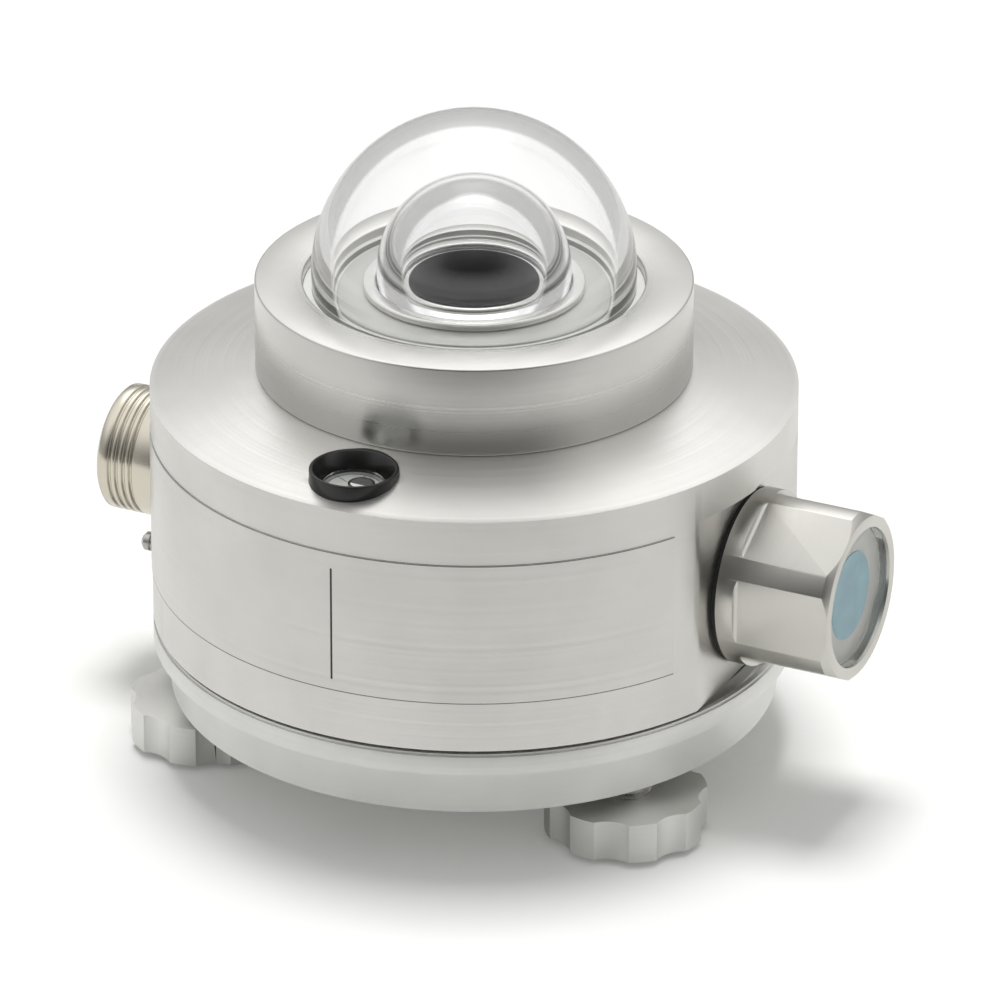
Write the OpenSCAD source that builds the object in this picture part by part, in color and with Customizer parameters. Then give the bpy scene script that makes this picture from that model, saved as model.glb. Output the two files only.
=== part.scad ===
// Pyranometer: a round aluminium housing with two concentric glass domes over a black
// thermopile sensor, a bubble level on its shoulder, a screw-in desiccant holder on one
// side, a round connector on the other, and a base on one fixed and two levelling feet.
// Millimetres. Origin: the mouth of the mounting thread in the middle of the base's
// underside. +Z is up, +X points to the desiccant holder, -X to the connector and -Y to
// the bubble level.

/* [Domes] */
// Outer diameter of the outer dome
dome_d = 50; // [46:0.5:56]
// Wall of the outer dome
dome_wall = 3; // [2:0.1:3.4]
// Outer diameter of the inner dome
inner_dome_d = 30; // [27:0.5:33]
// Wall of the inner dome
inner_dome_wall = 3.8; // [2:0.1:4.2]
// Height of the domes' common centre above the dome ring's top
dome_lift = 1.16; // [0.4:0.02:1.6]

/* [Dome ring] */
// Width of the ring outside the outer dome
ring_w = 8.7; // [8:0.1:12]
// Height of the ring above the housing
ring_h = 14.4; // [13:0.1:20]
// Width of the open gap between the dome and the ring
dome_gap = 1.3; // [1:0.1:1.6]
// Depth of the dome's seat below the ring's top
dome_sink = 3.6; // [3:0.1:4]
// Thickness of the ledge that carries the dome
ledge_t = 4; // [3:0.1:5]
// Width of the chamfers on the ring's top edges
ring_chamfer = 0.3; // [0.1:0.05:0.6]

/* [Housing] */
// Width of the sloping shoulder outside the dome ring
shoulder_w = 16.3; // [15.5:0.1:20]
// Rise of the shoulder from its rim to the dome ring
shoulder_rise = 3.16; // [2:0.02:4]
// Height of the housing's upright side
side_h = 38.34; // [36:0.02:48]
// Thickness of the side wall
housing_wall = 6.5; // [6:0.1:7]
// Thickness of the roof under the dome ring
roof_t = 5; // [4:0.1:6]
// Radius of the opening in the roof
roof_hole_r = 20; // [16:0.5:21]
// Break on the housing's outer edges
housing_break = 0.3; // [0.1:0.05:0.5]

/* [Milled flats] */
// Depth of the flats cut for the holder and the connector
flat_depth = 3.4; // [3:0.1:3.6]
// Height of the flats
flat_h = 32.2; // [31:0.1:34]
// Gap between the holder and its spot face
spot_gap = 3.85; // [2:0.05:4]

/* [Base] */
// Height of the base's lower band
base_low_h = 7.5; // [7:0.1:10]
// Height of the base's upper band
base_rim_h = 3.5; // [3:0.1:5]
// Step in from the upper band to the lower one
base_step = 2.6; // [2:0.1:3]
// Thickness of the seal between the base and the housing
base_seal_t = 0.7; // [0.5:0.05:1]
// Width of the upstanding lip round the base
lip_w = 0.9; // [0.7:0.05:1.1]
// Depth of the groove inside the lip
lip_groove_h = 2.2; // [1.5:0.1:2.4]
// Height and width of the small step outside the lip
lip_step = 0.4; // [0.2:0.05:0.5]
// Radius of the pocket in the base's top
pocket_r = 27; // [26:0.5:29]
// Thickness of the base under the pocket
pocket_floor_t = 6; // [5.5:0.1:6.5]
// Depth of the relief in the underside
relief_h = 1; // [0.5:0.1:1.2]

/* [Mounting holes] */
// Radius of the central thread's hole
centre_hole_r = 2.5; // [2:0.1:3]
// Depth of the central thread
centre_hole_h = 9; // [7:0.1:9.5]
// Radius of the two side threads' holes
side_hole_r = 2.1; // [1.6:0.1:2.5]
// Depth of the two side threads
side_hole_h = 8; // [6:0.1:9]
// Distance between the two side threads
side_hole_span = 65; // [62:0.5:68]

/* [Sensor deck] */
// Depth of the deck's top below the ring's top
deck_sink = 1.15; // [0.9:0.05:1.4]
// Width of the deck's flange under the ledge
deck_flange_w = 4.2; // [4:0.1:5]
// Thickness of the deck's flange
deck_flange_t = 2.8; // [2:0.1:3]
// Width of the inner dome's holding ring
inner_ring_w = 2.1; // [1.5:0.1:3]
// Height of the inner dome's holding ring
inner_ring_h = 1.15; // [0.8:0.05:2]
// Thickness of the bond under the inner dome
bond_t = 0.15; // [0.1:0.01:0.3]
// Height of the sensor pedestal's head above the deck
pedestal_h = 1.25; // [1:0.05:1.6]
// Radius of the sensor pedestal's stem
pedestal_stem_r = 8.9; // [7:0.1:9]
// Width of the pedestal's bright rim outside the absorber
absorber_rim = 0.7; // [0.4:0.05:1]
// Thickness of the black absorber
absorber_t = 0.3; // [0.2:0.02:0.5]
// Thickness of the thermopile under the absorber
thermopile_t = 0.8; // [0.5:0.05:0.9]
// Width of the pedestal outside the thermopile
thermopile_inset = 2.7; // [2:0.1:3.5]

/* [Bubble level] */
// Outer radius of the level's cup
level_cup_r = 6.8; // [6:0.1:7]
// Gap between the level's cup and the dome ring
level_gap = 0.7; // [0.5:0.1:1]
// Depth of the level's cup
level_cup_h = 8.5; // [7.5:0.1:9]
// Drop of the cup's rim below the dome ring's foot
level_drop = 0.2; // [0:0.05:0.4]
// Thickness of the cup's rim
level_rim_t = 0.5; // [0.4:0.05:0.8]
// Depth of the funnel above the level's lens
level_funnel_h = 2.4; // [1.5:0.1:3]
// Radius of the level's vial
level_vial_r = 4.85; // [4:0.05:5]
// Wall of the level's vial
level_vial_wall = 0.7; // [0.5:0.05:1]
// Thickness of the level's lens
level_lens_t = 1; // [0.6:0.1:1.4]
// Radius of the bubble
bubble_r = 2.05; // [1.5:0.05:2.5]
// Depth of the bubble
bubble_h = 0.5; // [0.3:0.05:0.7]

/* [Label] */
// Height of the label
label_h = 23.2; // [18:0.1:26]
// Height of the label's lower edge above the housing's foot
label_lift = 8; // [6:0.1:9]
// Thickness of the label
label_t = 0.12; // [0.08:0.01:0.2]
// Angle that the label spans
label_angle = 126; // [90:1:130]

/* [Desiccant holder] */
// Height of the holder's axis above the housing's foot
holder_lift = 15.3; // [15:0.1:16]
// Width of the holder's flange outside its threaded stem
holder_rim_w = 3.75; // [3:0.05:4]
// Length of the holder outside its seal
holder_l = 18.14; // [16:0.02:24]
// Thickness of the holder's flange
holder_flange_t = 2.8; // [2:0.1:4]
// Distance across the wrench flats
holder_flats = 25.4; // [24.6:0.1:25.8]
// Length of the chamfer at the holder's end
holder_chamfer = 1.2; // [0.6:0.1:2]
// Radius of the threaded stem
stem_r = 10; // [9.6:0.1:10.4]
// Length of the threaded stem inside its seal
stem_l = 14.36; // [13:0.02:18]
// Wall of the threaded stem
stem_wall = 1.8; // [1.5:0.1:2.4]
// Thickness of the holder's seal
holder_seal_t = 0.7; // [0.5:0.05:1]
// Width of the boss round the holder's thread
holder_boss_w = 3.5; // [3:0.1:4]
// Length of the boss round the holder's thread
holder_boss_l = 13.6; // [12:0.1:14]
// Thickness of the perforated screen at the stem's end
screen_t = 1; // [0.6:0.1:1.5]
// Length of a desiccant bag
bag_l = 26; // [20:0.5:27]

/* [Humidity indicator] */
// Radius of the indicator window
window_r = 11; // [10:0.1:11.2]
// Thickness of the indicator window
window_t = 1.9; // [1.2:0.1:2.4]
// Depth of the window below the holder's end face
window_sink = 0.5; // [0.3:0.05:1]
// Radius of the coloured indicator
indicator_r = 6.9; // [5:0.1:8]
// Thickness of the coloured indicator
indicator_t = 0.2; // [0.1:0.05:0.3]
// Thickness of the card behind the indicator
card_t = 0.5; // [0.3:0.05:0.8]

/* [Connector] */
// Height of the connector's axis above the housing's foot
conn_lift = 14.5; // [14:0.1:15.5]
// Outer radius of the connector
conn_r = 10; // [9.6:0.1:11]
// Length of the connector outside its gasket
conn_l = 14.3; // [12:0.1:18]
// Length of the plain rim at the connector's end
conn_rim_l = 1.7; // [1:0.1:2.5]
// Number of thread grooves
conn_grooves = 4; // [2:1:5]
// Pitch of the thread grooves
conn_pitch = 1.2; // [1:0.1:1.3]
// Depth of the thread grooves
conn_groove_h = 0.5; // [0.3:0.05:0.7]
// Wall of the connector's barrel
conn_wall = 1.6; // [1.2:0.1:2]
// Radius of the connector's stem in the housing
conn_stem_r = 8; // [7.6:0.1:8.3]
// Wall of the connector's stem
conn_stem_wall = 1.5; // [1:0.1:2]
// Thickness of the gasket behind the connector
conn_gasket_t = 0.4; // [0.2:0.05:0.8]
// Depth of the socket in front of the insert
socket_h = 10.3; // [8.6:0.1:11]
// Number of contact pins
pin_count = 10; // [5:1:12]
// Radius of a contact pin
pin_r = 0.5; // [0.3:0.05:0.6]
// Length of the pins in front of the insert
pin_l = 5; // [3:0.1:5.2]
// Thickness of the connector's nut
conn_nut_t = 2.5; // [2:0.1:4]
// Width across the connector nut's corners
conn_nut_w = 24; // [22:0.5:25]

/* [Screen stud] */
// Radius of the stud that a sun screen fixes to
stud_r = 1.5; // [1:0.1:2]
// Radius of the stud's threaded root in the wall
stud_root_r = 2; // [1.6:0.1:2.6]
// Length of the stud outside the flat
stud_out = 5.1; // [3:0.1:7]
// Length of the stud in the wall
stud_in = 3.8; // [2.5:0.1:4.2]
// Height of the stud above the housing's foot
stud_lift = 5.1; // [3:0.1:8]
// Distance of the stud beside the connector's axis
stud_side = 12; // [11:0.1:14]

/* [Feet] */
// Distance of the feet's axes inside the base's lower band
foot_inset = 5.9; // [5.5:0.1:7]
// Height of the base above the ground
foot_h = 10; // [9:0.1:14]
// Radius of the levelling knobs
knob_r = 12.5; // [10:0.1:14]
// Height of the levelling knobs
knob_h = 6.4; // [5:0.1:7]
// Gap between a knob and the base
knob_gap = 2.7; // [2.3:0.1:3]
// Number of scallops round a knob
knob_scallops = 8; // [6:1:10]
// Radius of a scallop
scallop_r = 5; // [3:0.1:7]
// Depth of a scallop
scallop_h = 1.1; // [0.5:0.1:1.5]
// Chamfer on a knob's edges
knob_chamfer = 0.7; // [0.3:0.05:1]
// Radius of the foot screws
foot_screw_r = 4; // [3:0.1:4.4]
// Length of the foot screws inside the base
foot_screw_in = 7.6; // [6:0.1:8]
// Travel of the foot screws further into the base
foot_travel = 2; // [1:0.1:2.2]
// Radius of a foot's pad
pad_r = 6; // [5:0.1:8]
// Radius of the pad's spigot
spigot_r = 2; // [1.5:0.1:2.4]
// Length of the pad's spigot
spigot_l = 3; // [2:0.1:4]
// Radius of the fixed foot
fixed_foot_r = 6.5; // [5:0.1:8]

/* [Screws] */
// Radius of the base screws' shanks
base_screw_r = 2; // [1.5:0.1:2.2]
// Radius of the base screws' heads
base_head_r = 3.5; // [3:0.1:3.8]
// Height of the base screws' heads
base_head_h = 4; // [3:0.1:4.5]
// Thickness of the base under a screw's head
base_head_seat = 6.8; // [6.2:0.1:7]
// Length of the base screws in the housing
base_screw_in = 10; // [6:0.1:11]
// Radius of the posts that the base screws enter
post_r = 4.6; // [4:0.1:4.8]
// Height of the posts that the base screws enter
post_h = 14; // [13:0.1:16]
// Radius of the dome ring's screws
ring_screw_r = 1.4; // [1:0.1:1.5]
// Length of the dome ring's screws in the ring
ring_screw_in = 5; // [3:0.1:6]
// Radius of the deck's screws
deck_screw_r = 1; // [0.8:0.1:1.2]
// Length of the deck's screws in the ledge
deck_screw_in = 2.5; // [1.5:0.1:2.8]
// Radius of the terminal board's screws
board_screw_r = 1.25; // [1:0.05:1.5]
// Length of the terminal board's screws in the base
board_screw_in = 2.5; // [1.5:0.1:3.5]

/* [Terminal board] */
// Radius of the terminal board
board_r = 24; // [22:0.5:25]
// Radius of the terminal board's hole
board_hole_r = 8; // [7.5:0.1:9]
// Thickness of the terminal board
board_t = 1.6; // [1:0.1:2]
// Height of the board's spacers
spacer_h = 4; // [3:0.1:5]
// Radius of the board's spacers
spacer_r = 2.5; // [2:0.1:3]
// Width of a terminal block
block_w = 7; // [6:0.1:8]
// Length of a terminal block
block_l = 18; // [16:0.1:20]
// Height of a terminal block
block_h = 8; // [6:0.1:9]
// Radius of the wires
wire_r = 0.6; // [0.4:0.05:0.7]
// Spacing of the wires
wire_pitch = 3; // [2:0.1:3.2]
// Bend radius of the wires
wire_bend_r = 5; // [4:0.1:6]
// Height of the sensor wires' crossing above the housing's foot
wire_cross_lift = 26; // [22:0.5:30]

/* [Hidden] */
$fn = 96;

// Overrun of every cut past the face that it opens
cut = 0.5;
// Clearance round a round part in its own bore
fit = 0.05;
// Clearance between parts that turn against each other
run = 0.03;
// Clearance round a screw's shank or head in its hole
loose = 0.25;
// Clearance between two rims that sit one inside the other
nest = 0.1;
// Width of the seals
seal_w = 2.6;
// Distance of the dome ring's seal inside the ring's side
ring_seal_inset = 2;
// Width and height of the dome ring's seal
ring_seal_w = 1.4;
ring_seal_h = 0.9;
// Height of the bond round the outer dome
dome_bond_h = 2;
// Thickness of the boss behind the connector
conn_boss_t = 1.6;
// Length of the connector's insert between the socket and the stem
insert_l = 2.6;
// Circle of the contact pins as a share of the insert's radius
pin_circle_share = 0.62;
// Length of the pins behind the insert
pin_tail = 1;
// Length of the connector's tail behind its nut
conn_tail_l = 1;
// Radius and length of the thermistor
thermistor_r = 1.6;
thermistor_l = 10;
// Length of the sensor pedestal's stem below the deck's flange
pedestal_tail = 2;
// Width of the wall round the central thread
hub_w = 4.7;
// Heights and widths of the small screws' heads as shares of their shanks' radii
head_r_share = 1.9;
head_h_share = 1.6;
// Counts of the feet, the screws, the wires and the screen's outer holes
foot_n = 3;
base_screw_n = 3;
ring_screw_n = 4;
deck_screw_n = 3;
board_screw_n = 4;
sensor_wire_n = 4;
connector_wire_n = 5;
screen_holes = 6;
// Radius of the holes in the bag screen, and of their circle as a share of the screen
screen_hole_r = 1.1;
screen_circle_share = 0.6;
// Thickness and width of a desiccant bag as shares of the stem's bore
bag_t_share = 0.66;
bag_w_share = 1.6;
// Angles of the feet, the screws and the milled flats, seen from above
foot_angle_right = -30;
foot_angle_left = -150;
fixed_foot_angle = 90;
holder_angle = 0;
connector_angle = 180;
level_angle = -90;
base_screw_angle = 30;
ring_screw_angle = 45;
board_screw_angle = 45;
thermistor_angle = 60;

// Levels from the base's underside up
base_top_z = base_low_h + base_rim_h;
housing_z = base_top_z + base_seal_t;
shoulder_z = housing_z + side_h;
seat_z = shoulder_z + shoulder_rise;
roof_z = seat_z - roof_t;
ring_top_z = seat_z + ring_h;
dome_z = ring_top_z + dome_lift;
dome_floor_z = ring_top_z - dome_sink;
ledge_z = dome_floor_z - ledge_t;
deck_z = ring_top_z - deck_sink;
pedestal_z = deck_z + pedestal_h;
flat_top_z = housing_z + flat_h;
holder_z = housing_z + holder_lift;
conn_z = housing_z + conn_lift;
level_top_z = seat_z - level_drop;
level_floor_z = level_top_z - level_cup_h;
level_lens_z = level_top_z - level_funnel_h;
level_vial_z = level_floor_z + level_rim_t;

// Radii from the domes outwards
dome_r = dome_d / 2;
inner_dome_r = inner_dome_d / 2;
ring_bore_r = dome_r + dome_gap;
ring_r = dome_r + ring_w;
housing_r = ring_r + shoulder_w;
cavity_r = housing_r - housing_wall;
flat_x = housing_r - flat_depth;
base_r = housing_r;
base_low_r = base_r - base_step;
lip_in_r = base_r - lip_step - lip_w;
land_r = flat_x - nest;
seal_out_r = land_r - 2 * nest;
seal_in_r = seal_out_r - seal_w;
level_x = ring_r + level_gap + level_cup_r;
foot_x = base_low_r - foot_inset;
boss_r = centre_hole_r + hub_w;

// Radius of a dome's inside or outside at a height
function dome_at(r, z) = sqrt(r * r - (z - dome_z) * (z - dome_z));

dome_rim_in_r = dome_at(dome_r - dome_wall, dome_floor_z);
deck_r = dome_rim_in_r - nest;
deck_flange_r = deck_r + deck_flange_w;
ring_low_bore_r = deck_flange_r + 2 * nest;
deck_screw_x = deck_r + deck_flange_w / 2;
ring_seal_r = ring_r - ring_seal_inset;
ring_screw_x = (ring_low_bore_r + ring_seal_r - ring_seal_w / 2) / 2;
inner_rim_z = deck_z + bond_t;
inner_rim_in_r = dome_at(inner_dome_r - inner_dome_wall, inner_rim_z);
inner_rim_out_r = dome_at(inner_dome_r, inner_rim_z);
pedestal_r = inner_rim_in_r - nest;
absorber_r = pedestal_r - absorber_rim;
thermopile_r = pedestal_r - thermopile_inset;
pedestal_foot_z = ledge_z - deck_flange_t - pedestal_tail;

// Sizes of the holder, and distances of its parts from the housing's axis
holder_r = stem_r + holder_rim_w;
holder_seal_x = flat_x + run;
holder_x = holder_seal_x + holder_seal_t + run;
holder_end_x = holder_x + holder_l;
stem_end_x = holder_x - stem_l;
stem_in_r = stem_r - stem_wall;
window_x = holder_end_x - window_sink - window_t;
indicator_x = window_x - indicator_t;
card_x = indicator_x - card_t;
screen_x = stem_end_x + screen_t;

// Distances of the connector's parts from the housing's axis
conn_x = flat_x + conn_gasket_t;
conn_end_x = conn_x + conn_l;
conn_wall_x = sqrt(cavity_r * cavity_r - conn_stem_r * conn_stem_r) - conn_boss_t;
conn_nut_x = conn_wall_x - conn_nut_t;
conn_tail_x = conn_nut_x - conn_tail_l;
insert_front_x = conn_end_x - socket_h;
insert_step_x = insert_front_x - insert_l;
socket_r = conn_r - conn_wall;
conn_stem_in_r = conn_stem_r - conn_stem_wall;

// Levels of the feet, below the base
knob_top_z = -knob_gap;
knob_foot_z = knob_top_z - knob_h;
pad_top_z = knob_foot_z - fit;

// The terminal board's levels and places
board_z = pocket_floor_t + spacer_h;
block_z = board_z + board_t;
block_top_z = block_z + block_h;
block_x = (board_r + board_hole_r) / 2;
spacer_x = block_x + spacer_r;
wire_cross_z = housing_z + wire_cross_lift;

// A ring or disc about Z, from one height to another
module band(r_out, r_in, z0, z1) {
    translate([0, 0, z0])
        difference() {
            cylinder(r = r_out, h = z1 - z0);
            if (r_in > 0)
                translate([0, 0, -cut])
                    cylinder(r = r_in, h = z1 - z0 + 2 * cut);
        }
}

// A round bar along +X, from one distance to another
module bar_x(r, x0, x1) {
    translate([x0, 0, 0])
        rotate([0, 90, 0])
            cylinder(r = r, h = x1 - x0);
}

// Places what follows on a circle, a number of times, from a first bearing
module around(n, r, first = 0) {
    for (i = [0 : n - 1])
        rotate([0, 0, first + i * 360 / n])
            translate([r, 0, 0])
                children();
}

// A cap screw about Z, its head below z and its shank above
module cap_screw(shank_r, shank_l, head_r, head_h, z) {
    translate([0, 0, z])
        cylinder(r = shank_r, h = shank_l);
    difference() {
        translate([0, 0, z - head_h])
            cylinder(r = head_r, h = head_h);
        translate([0, 0, z - head_h - cut])
            cylinder(r = shank_r, h = head_h / 2 + cut, $fn = 6);
    }
}

// A glass dome: a shell about the domes' centre, cut off at its rim
module dome_shell(r, wall, rim_z) {
    intersection() {
        translate([0, 0, dome_z])
            difference() {
                sphere(r = r);
                sphere(r = r - wall);
            }
        translate([-2 * r, -2 * r, rim_z])
            cube([4 * r, 4 * r, 4 * r]);
    }
}

module housing() {
    color("gainsboro")
        difference() {
            union() {
                rotate_extrude()
                    polygon([
                        [cavity_r, housing_z],
                        [housing_r - housing_break, housing_z],
                        [housing_r, housing_z + housing_break],
                        [housing_r, shoulder_z - housing_break],
                        [housing_r - housing_break, shoulder_z],
                        [ring_r, seat_z],
                        [roof_hole_r, seat_z],
                        [roof_hole_r, roof_z],
                        [cavity_r, roof_z]]);
                intersection() {
                    union() {
                        level_boss();
                        holder_boss();
                        connector_boss();
                        around(base_screw_n, foot_x, base_screw_angle)
                            translate([0, 0, housing_z])
                                cylinder(r = post_r, h = post_h);
                    }
                    translate([0, 0, housing_z])
                        cylinder(r = cavity_r + housing_wall / 3, h = seat_z - housing_z);
                }
            }
            flat_cut(holder_angle, holder_z, holder_r + spot_gap);
            flat_cut(connector_angle, conn_z, conn_r + spot_gap);
            translate([0, 0, holder_z])
                bar_x(stem_r + fit, flat_x - holder_boss_l - cut, housing_r);
            translate([0, 0, conn_z])
                rotate([0, 0, connector_angle])
                    bar_x(conn_stem_r + fit, conn_wall_x - cut, housing_r);
            translate([-flat_x, -stud_side, housing_z + stud_lift])
                bar_x(stud_root_r + fit, -cut, stud_in);
            rotate([0, 0, level_angle])
                translate([level_x, 0, level_floor_z])
                    cylinder(r = level_cup_r + fit, h = level_cup_h + shoulder_rise);
            around(base_screw_n, foot_x, base_screw_angle)
                translate([0, 0, housing_z - cut])
                    cylinder(r = base_screw_r + fit, h = base_screw_in + 2 * cut);
            around(ring_screw_n, ring_screw_x, ring_screw_angle)
                translate([0, 0, roof_z - cut])
                    cylinder(r = ring_screw_r + loose, h = roof_t + 2 * cut);
        }
}

// The thick places inside the housing's wall and roof
module level_boss() {
    rotate([0, 0, level_angle])
        translate([level_x, 0, level_floor_z - roof_t / 2])
            cylinder(r = level_cup_r + housing_wall / 3, h = seat_z - level_floor_z);
}

module holder_boss() {
    translate([0, 0, holder_z])
        bar_x(stem_r + holder_boss_w, flat_x - holder_boss_l, flat_x);
}

module connector_boss() {
    translate([0, 0, conn_z])
        rotate([0, 0, connector_angle])
            bar_x(conn_nut_w / 2, conn_wall_x, flat_x);
}

// A flat milled into the side, with the round spot face of what seats on it
module flat_cut(angle, axis_z, spot_r) {
    rotate([0, 0, angle]) {
        translate([flat_x, -housing_r, housing_z - cut])
            cube([housing_r, 2 * housing_r, flat_h + cut]);
        translate([0, 0, axis_z])
            bar_x(spot_r, flat_x, 2 * housing_r);
    }
}

module base() {
    color("silver")
        difference() {
            rotate_extrude()
                polygon([
                    [0, 0],
                    [base_low_r - housing_break, 0],
                    [base_low_r, housing_break],
                    [base_low_r, base_low_h],
                    [base_r, base_low_h],
                    [base_r, base_top_z - lip_step],
                    [base_r - lip_step, base_top_z - lip_step],
                    [base_r - lip_step, base_top_z],
                    [lip_in_r, base_top_z],
                    [lip_in_r, base_top_z - lip_groove_h],
                    [land_r, base_top_z - lip_groove_h],
                    [land_r, base_top_z],
                    [pocket_r, base_top_z],
                    [pocket_r, pocket_floor_t],
                    [boss_r, pocket_floor_t],
                    [boss_r, base_top_z],
                    [0, base_top_z]]);
            translate([0, 0, -cut])
                cylinder(r = centre_hole_r, h = centre_hole_h + cut);
            around(2, side_hole_span / 2)
                translate([0, 0, -cut])
                    cylinder(r = side_hole_r, h = side_hole_h + cut);
            band(pocket_r + relief_h, 2 * boss_r, -cut, relief_h);
            around(foot_n, foot_x, foot_angle_right)
                translate([0, 0, -cut])
                    cylinder(r = foot_screw_r + fit, h = foot_screw_in + foot_travel + loose + cut);
            around(base_screw_n, foot_x, base_screw_angle) {
                translate([0, 0, -cut])
                    cylinder(r = base_screw_r + loose, h = base_top_z + 2 * cut);
                translate([0, 0, -cut])
                    cylinder(r = base_head_r + loose, h = base_top_z - base_head_seat + cut);
            }
            around(board_screw_n, spacer_x, board_screw_angle)
                translate([0, 0, pocket_floor_t - board_screw_in - cut])
                    cylinder(r = board_screw_r + fit, h = board_screw_in + 2 * cut);
        }
}

module base_seal() {
    color("dimgray")
        band(seal_out_r, seal_in_r, base_top_z, housing_z);
}

module base_screws() {
    color("slategray")
        around(base_screw_n, foot_x, base_screw_angle)
            cap_screw(base_screw_r, base_head_seat + base_seal_t + base_screw_in,
                base_head_r, base_head_h, base_top_z - base_head_seat);
}

module label() {
    color("lightgray")
        rotate([0, 0, level_angle - label_angle / 2])
            rotate_extrude(angle = label_angle)
                translate([housing_r + run, housing_z + label_lift])
                    square([label_t, label_h]);
}

module dome_ring() {
    color("lightgray")
        difference() {
            rotate_extrude()
                polygon([
                    [ring_low_bore_r, seat_z],
                    [ring_r, seat_z],
                    [ring_r, ring_top_z - ring_chamfer],
                    [ring_r - ring_chamfer, ring_top_z],
                    [ring_bore_r + ring_chamfer, ring_top_z],
                    [ring_bore_r, ring_top_z - ring_chamfer],
                    [ring_bore_r, dome_floor_z],
                    [dome_rim_in_r, dome_floor_z],
                    [dome_rim_in_r, ledge_z],
                    [ring_low_bore_r, ledge_z]]);
            band(ring_seal_r + ring_seal_w / 2 + nest, ring_seal_r - ring_seal_w / 2 - nest,
                seat_z - cut, seat_z + ring_seal_h + nest);
            around(ring_screw_n, ring_screw_x, ring_screw_angle)
                translate([0, 0, seat_z - cut])
                    cylinder(r = ring_screw_r + fit, h = ring_screw_in + 2 * cut);
            around(deck_screw_n, deck_screw_x)
                translate([0, 0, ledge_z - cut])
                    cylinder(r = deck_screw_r + fit, h = deck_screw_in + 2 * cut);
        }
}

module dome_ring_seal() {
    color("black")
        band(ring_seal_r + ring_seal_w / 2, ring_seal_r - ring_seal_w / 2,
            seat_z, seat_z + ring_seal_h);
}

module dome_ring_screws() {
    color("slategray")
        around(ring_screw_n, ring_screw_x, ring_screw_angle)
            cap_screw(ring_screw_r, roof_t + ring_screw_in,
                ring_screw_r * head_r_share, ring_screw_r * head_h_share, roof_z);
}

module outer_dome() {
    color("lightcyan", 0.4)
        dome_shell(dome_r, dome_wall, dome_floor_z);
}

module outer_dome_bond() {
    color("gray")
        band(ring_bore_r - fit, dome_at(dome_r, dome_floor_z + dome_bond_h) + fit,
            dome_floor_z, dome_floor_z + dome_bond_h);
}

module sensor_deck() {
    color("whitesmoke")
        difference() {
            union() {
                cylinder_at(deck_r, ledge_z - deck_flange_t, deck_z);
                cylinder_at(deck_flange_r, ledge_z - deck_flange_t, ledge_z);
            }
            cylinder_at(pedestal_stem_r + fit, ledge_z - deck_flange_t - cut, deck_z + cut);
            around(deck_screw_n, deck_screw_x)
                cylinder_at(deck_screw_r + fit, ledge_z - deck_flange_t - cut, ledge_z + cut);
            thermistor_place()
                cylinder_at(thermistor_r + fit, ledge_z - deck_flange_t - cut,
                    ledge_z - deck_flange_t + thermistor_l / 2);
        }
}

// A plain cylinder about Z, from one height to another
module cylinder_at(r, z0, z1) {
    translate([0, 0, z0])
        cylinder(r = r, h = z1 - z0);
}

module deck_screws() {
    color("slategray")
        around(deck_screw_n, deck_screw_x)
            cap_screw(deck_screw_r, deck_flange_t + deck_screw_in,
                deck_screw_r * head_r_share, deck_screw_r * head_h_share,
                ledge_z - deck_flange_t);
}

module inner_dome_ring() {
    color("silver")
        band(inner_dome_r + inner_ring_w, inner_dome_r + nest, deck_z, deck_z + inner_ring_h);
}

module inner_dome() {
    color("lightcyan", 0.4)
        dome_shell(inner_dome_r, inner_dome_wall, inner_rim_z);
}

module inner_dome_bond() {
    color("gray")
        band(inner_rim_out_r, inner_rim_in_r, deck_z, inner_rim_z);
}

module sensor_pedestal() {
    color("white")
        difference() {
            union() {
                cylinder_at(pedestal_stem_r, pedestal_foot_z, pedestal_z);
                cylinder_at(pedestal_r, deck_z, pedestal_z);
            }
            cylinder_at(thermopile_r + fit, pedestal_z - thermopile_t, pedestal_z + cut);
            cylinder_at(sensor_wire_n * wire_pitch / 2 + wire_r, pedestal_foot_z - cut,
                pedestal_foot_z + pedestal_tail);
        }
}

module thermopile() {
    color("goldenrod")
        cylinder_at(thermopile_r, pedestal_z - thermopile_t, pedestal_z);
}

module absorber() {
    color("black")
        cylinder_at(absorber_r, pedestal_z, pedestal_z + absorber_t);
}

module thermistor_place() {
    rotate([0, 0, thermistor_angle])
        translate([(pedestal_stem_r + deck_r) / 2, 0, 0])
            children();
}

module thermistor() {
    color("saddlebrown")
        thermistor_place()
            cylinder_at(thermistor_r, ledge_z - deck_flange_t - thermistor_l / 2,
                ledge_z - deck_flange_t + thermistor_l / 2);
}

// A quarter bend of wire in the XZ plane, from -X at the origin to straight down
module wire_bend() {
    rotate([90, 0, 0])
        rotate_extrude(angle = 90)
            translate([wire_bend_r, 0])
                circle(r = wire_r);
}

module sensor_wires() {
    low_bend_z = wire_cross_z - 2 * wire_bend_r;
    color("firebrick")
        for (i = [0 : sensor_wire_n - 1])
            translate([0, (i - (sensor_wire_n - 1) / 2) * wire_pitch, 0]) {
                cylinder_at(wire_r, wire_cross_z, pedestal_foot_z + pedestal_tail);
                translate([wire_bend_r, 0, wire_cross_z])
                    rotate([0, 180, 0])
                        wire_bend();
                translate([0, 0, wire_cross_z - wire_bend_r])
                    bar_x(wire_r, wire_bend_r, block_x - wire_bend_r);
                translate([block_x - wire_bend_r, 0, low_bend_z])
                    wire_bend();
                translate([block_x, 0, 0])
                    cylinder_at(wire_r, block_top_z, low_bend_z);
            }
}

// Places what follows on the level's axis
module level_place() {
    rotate([0, 0, level_angle])
        translate([level_x, 0, 0])
            children();
}

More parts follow.
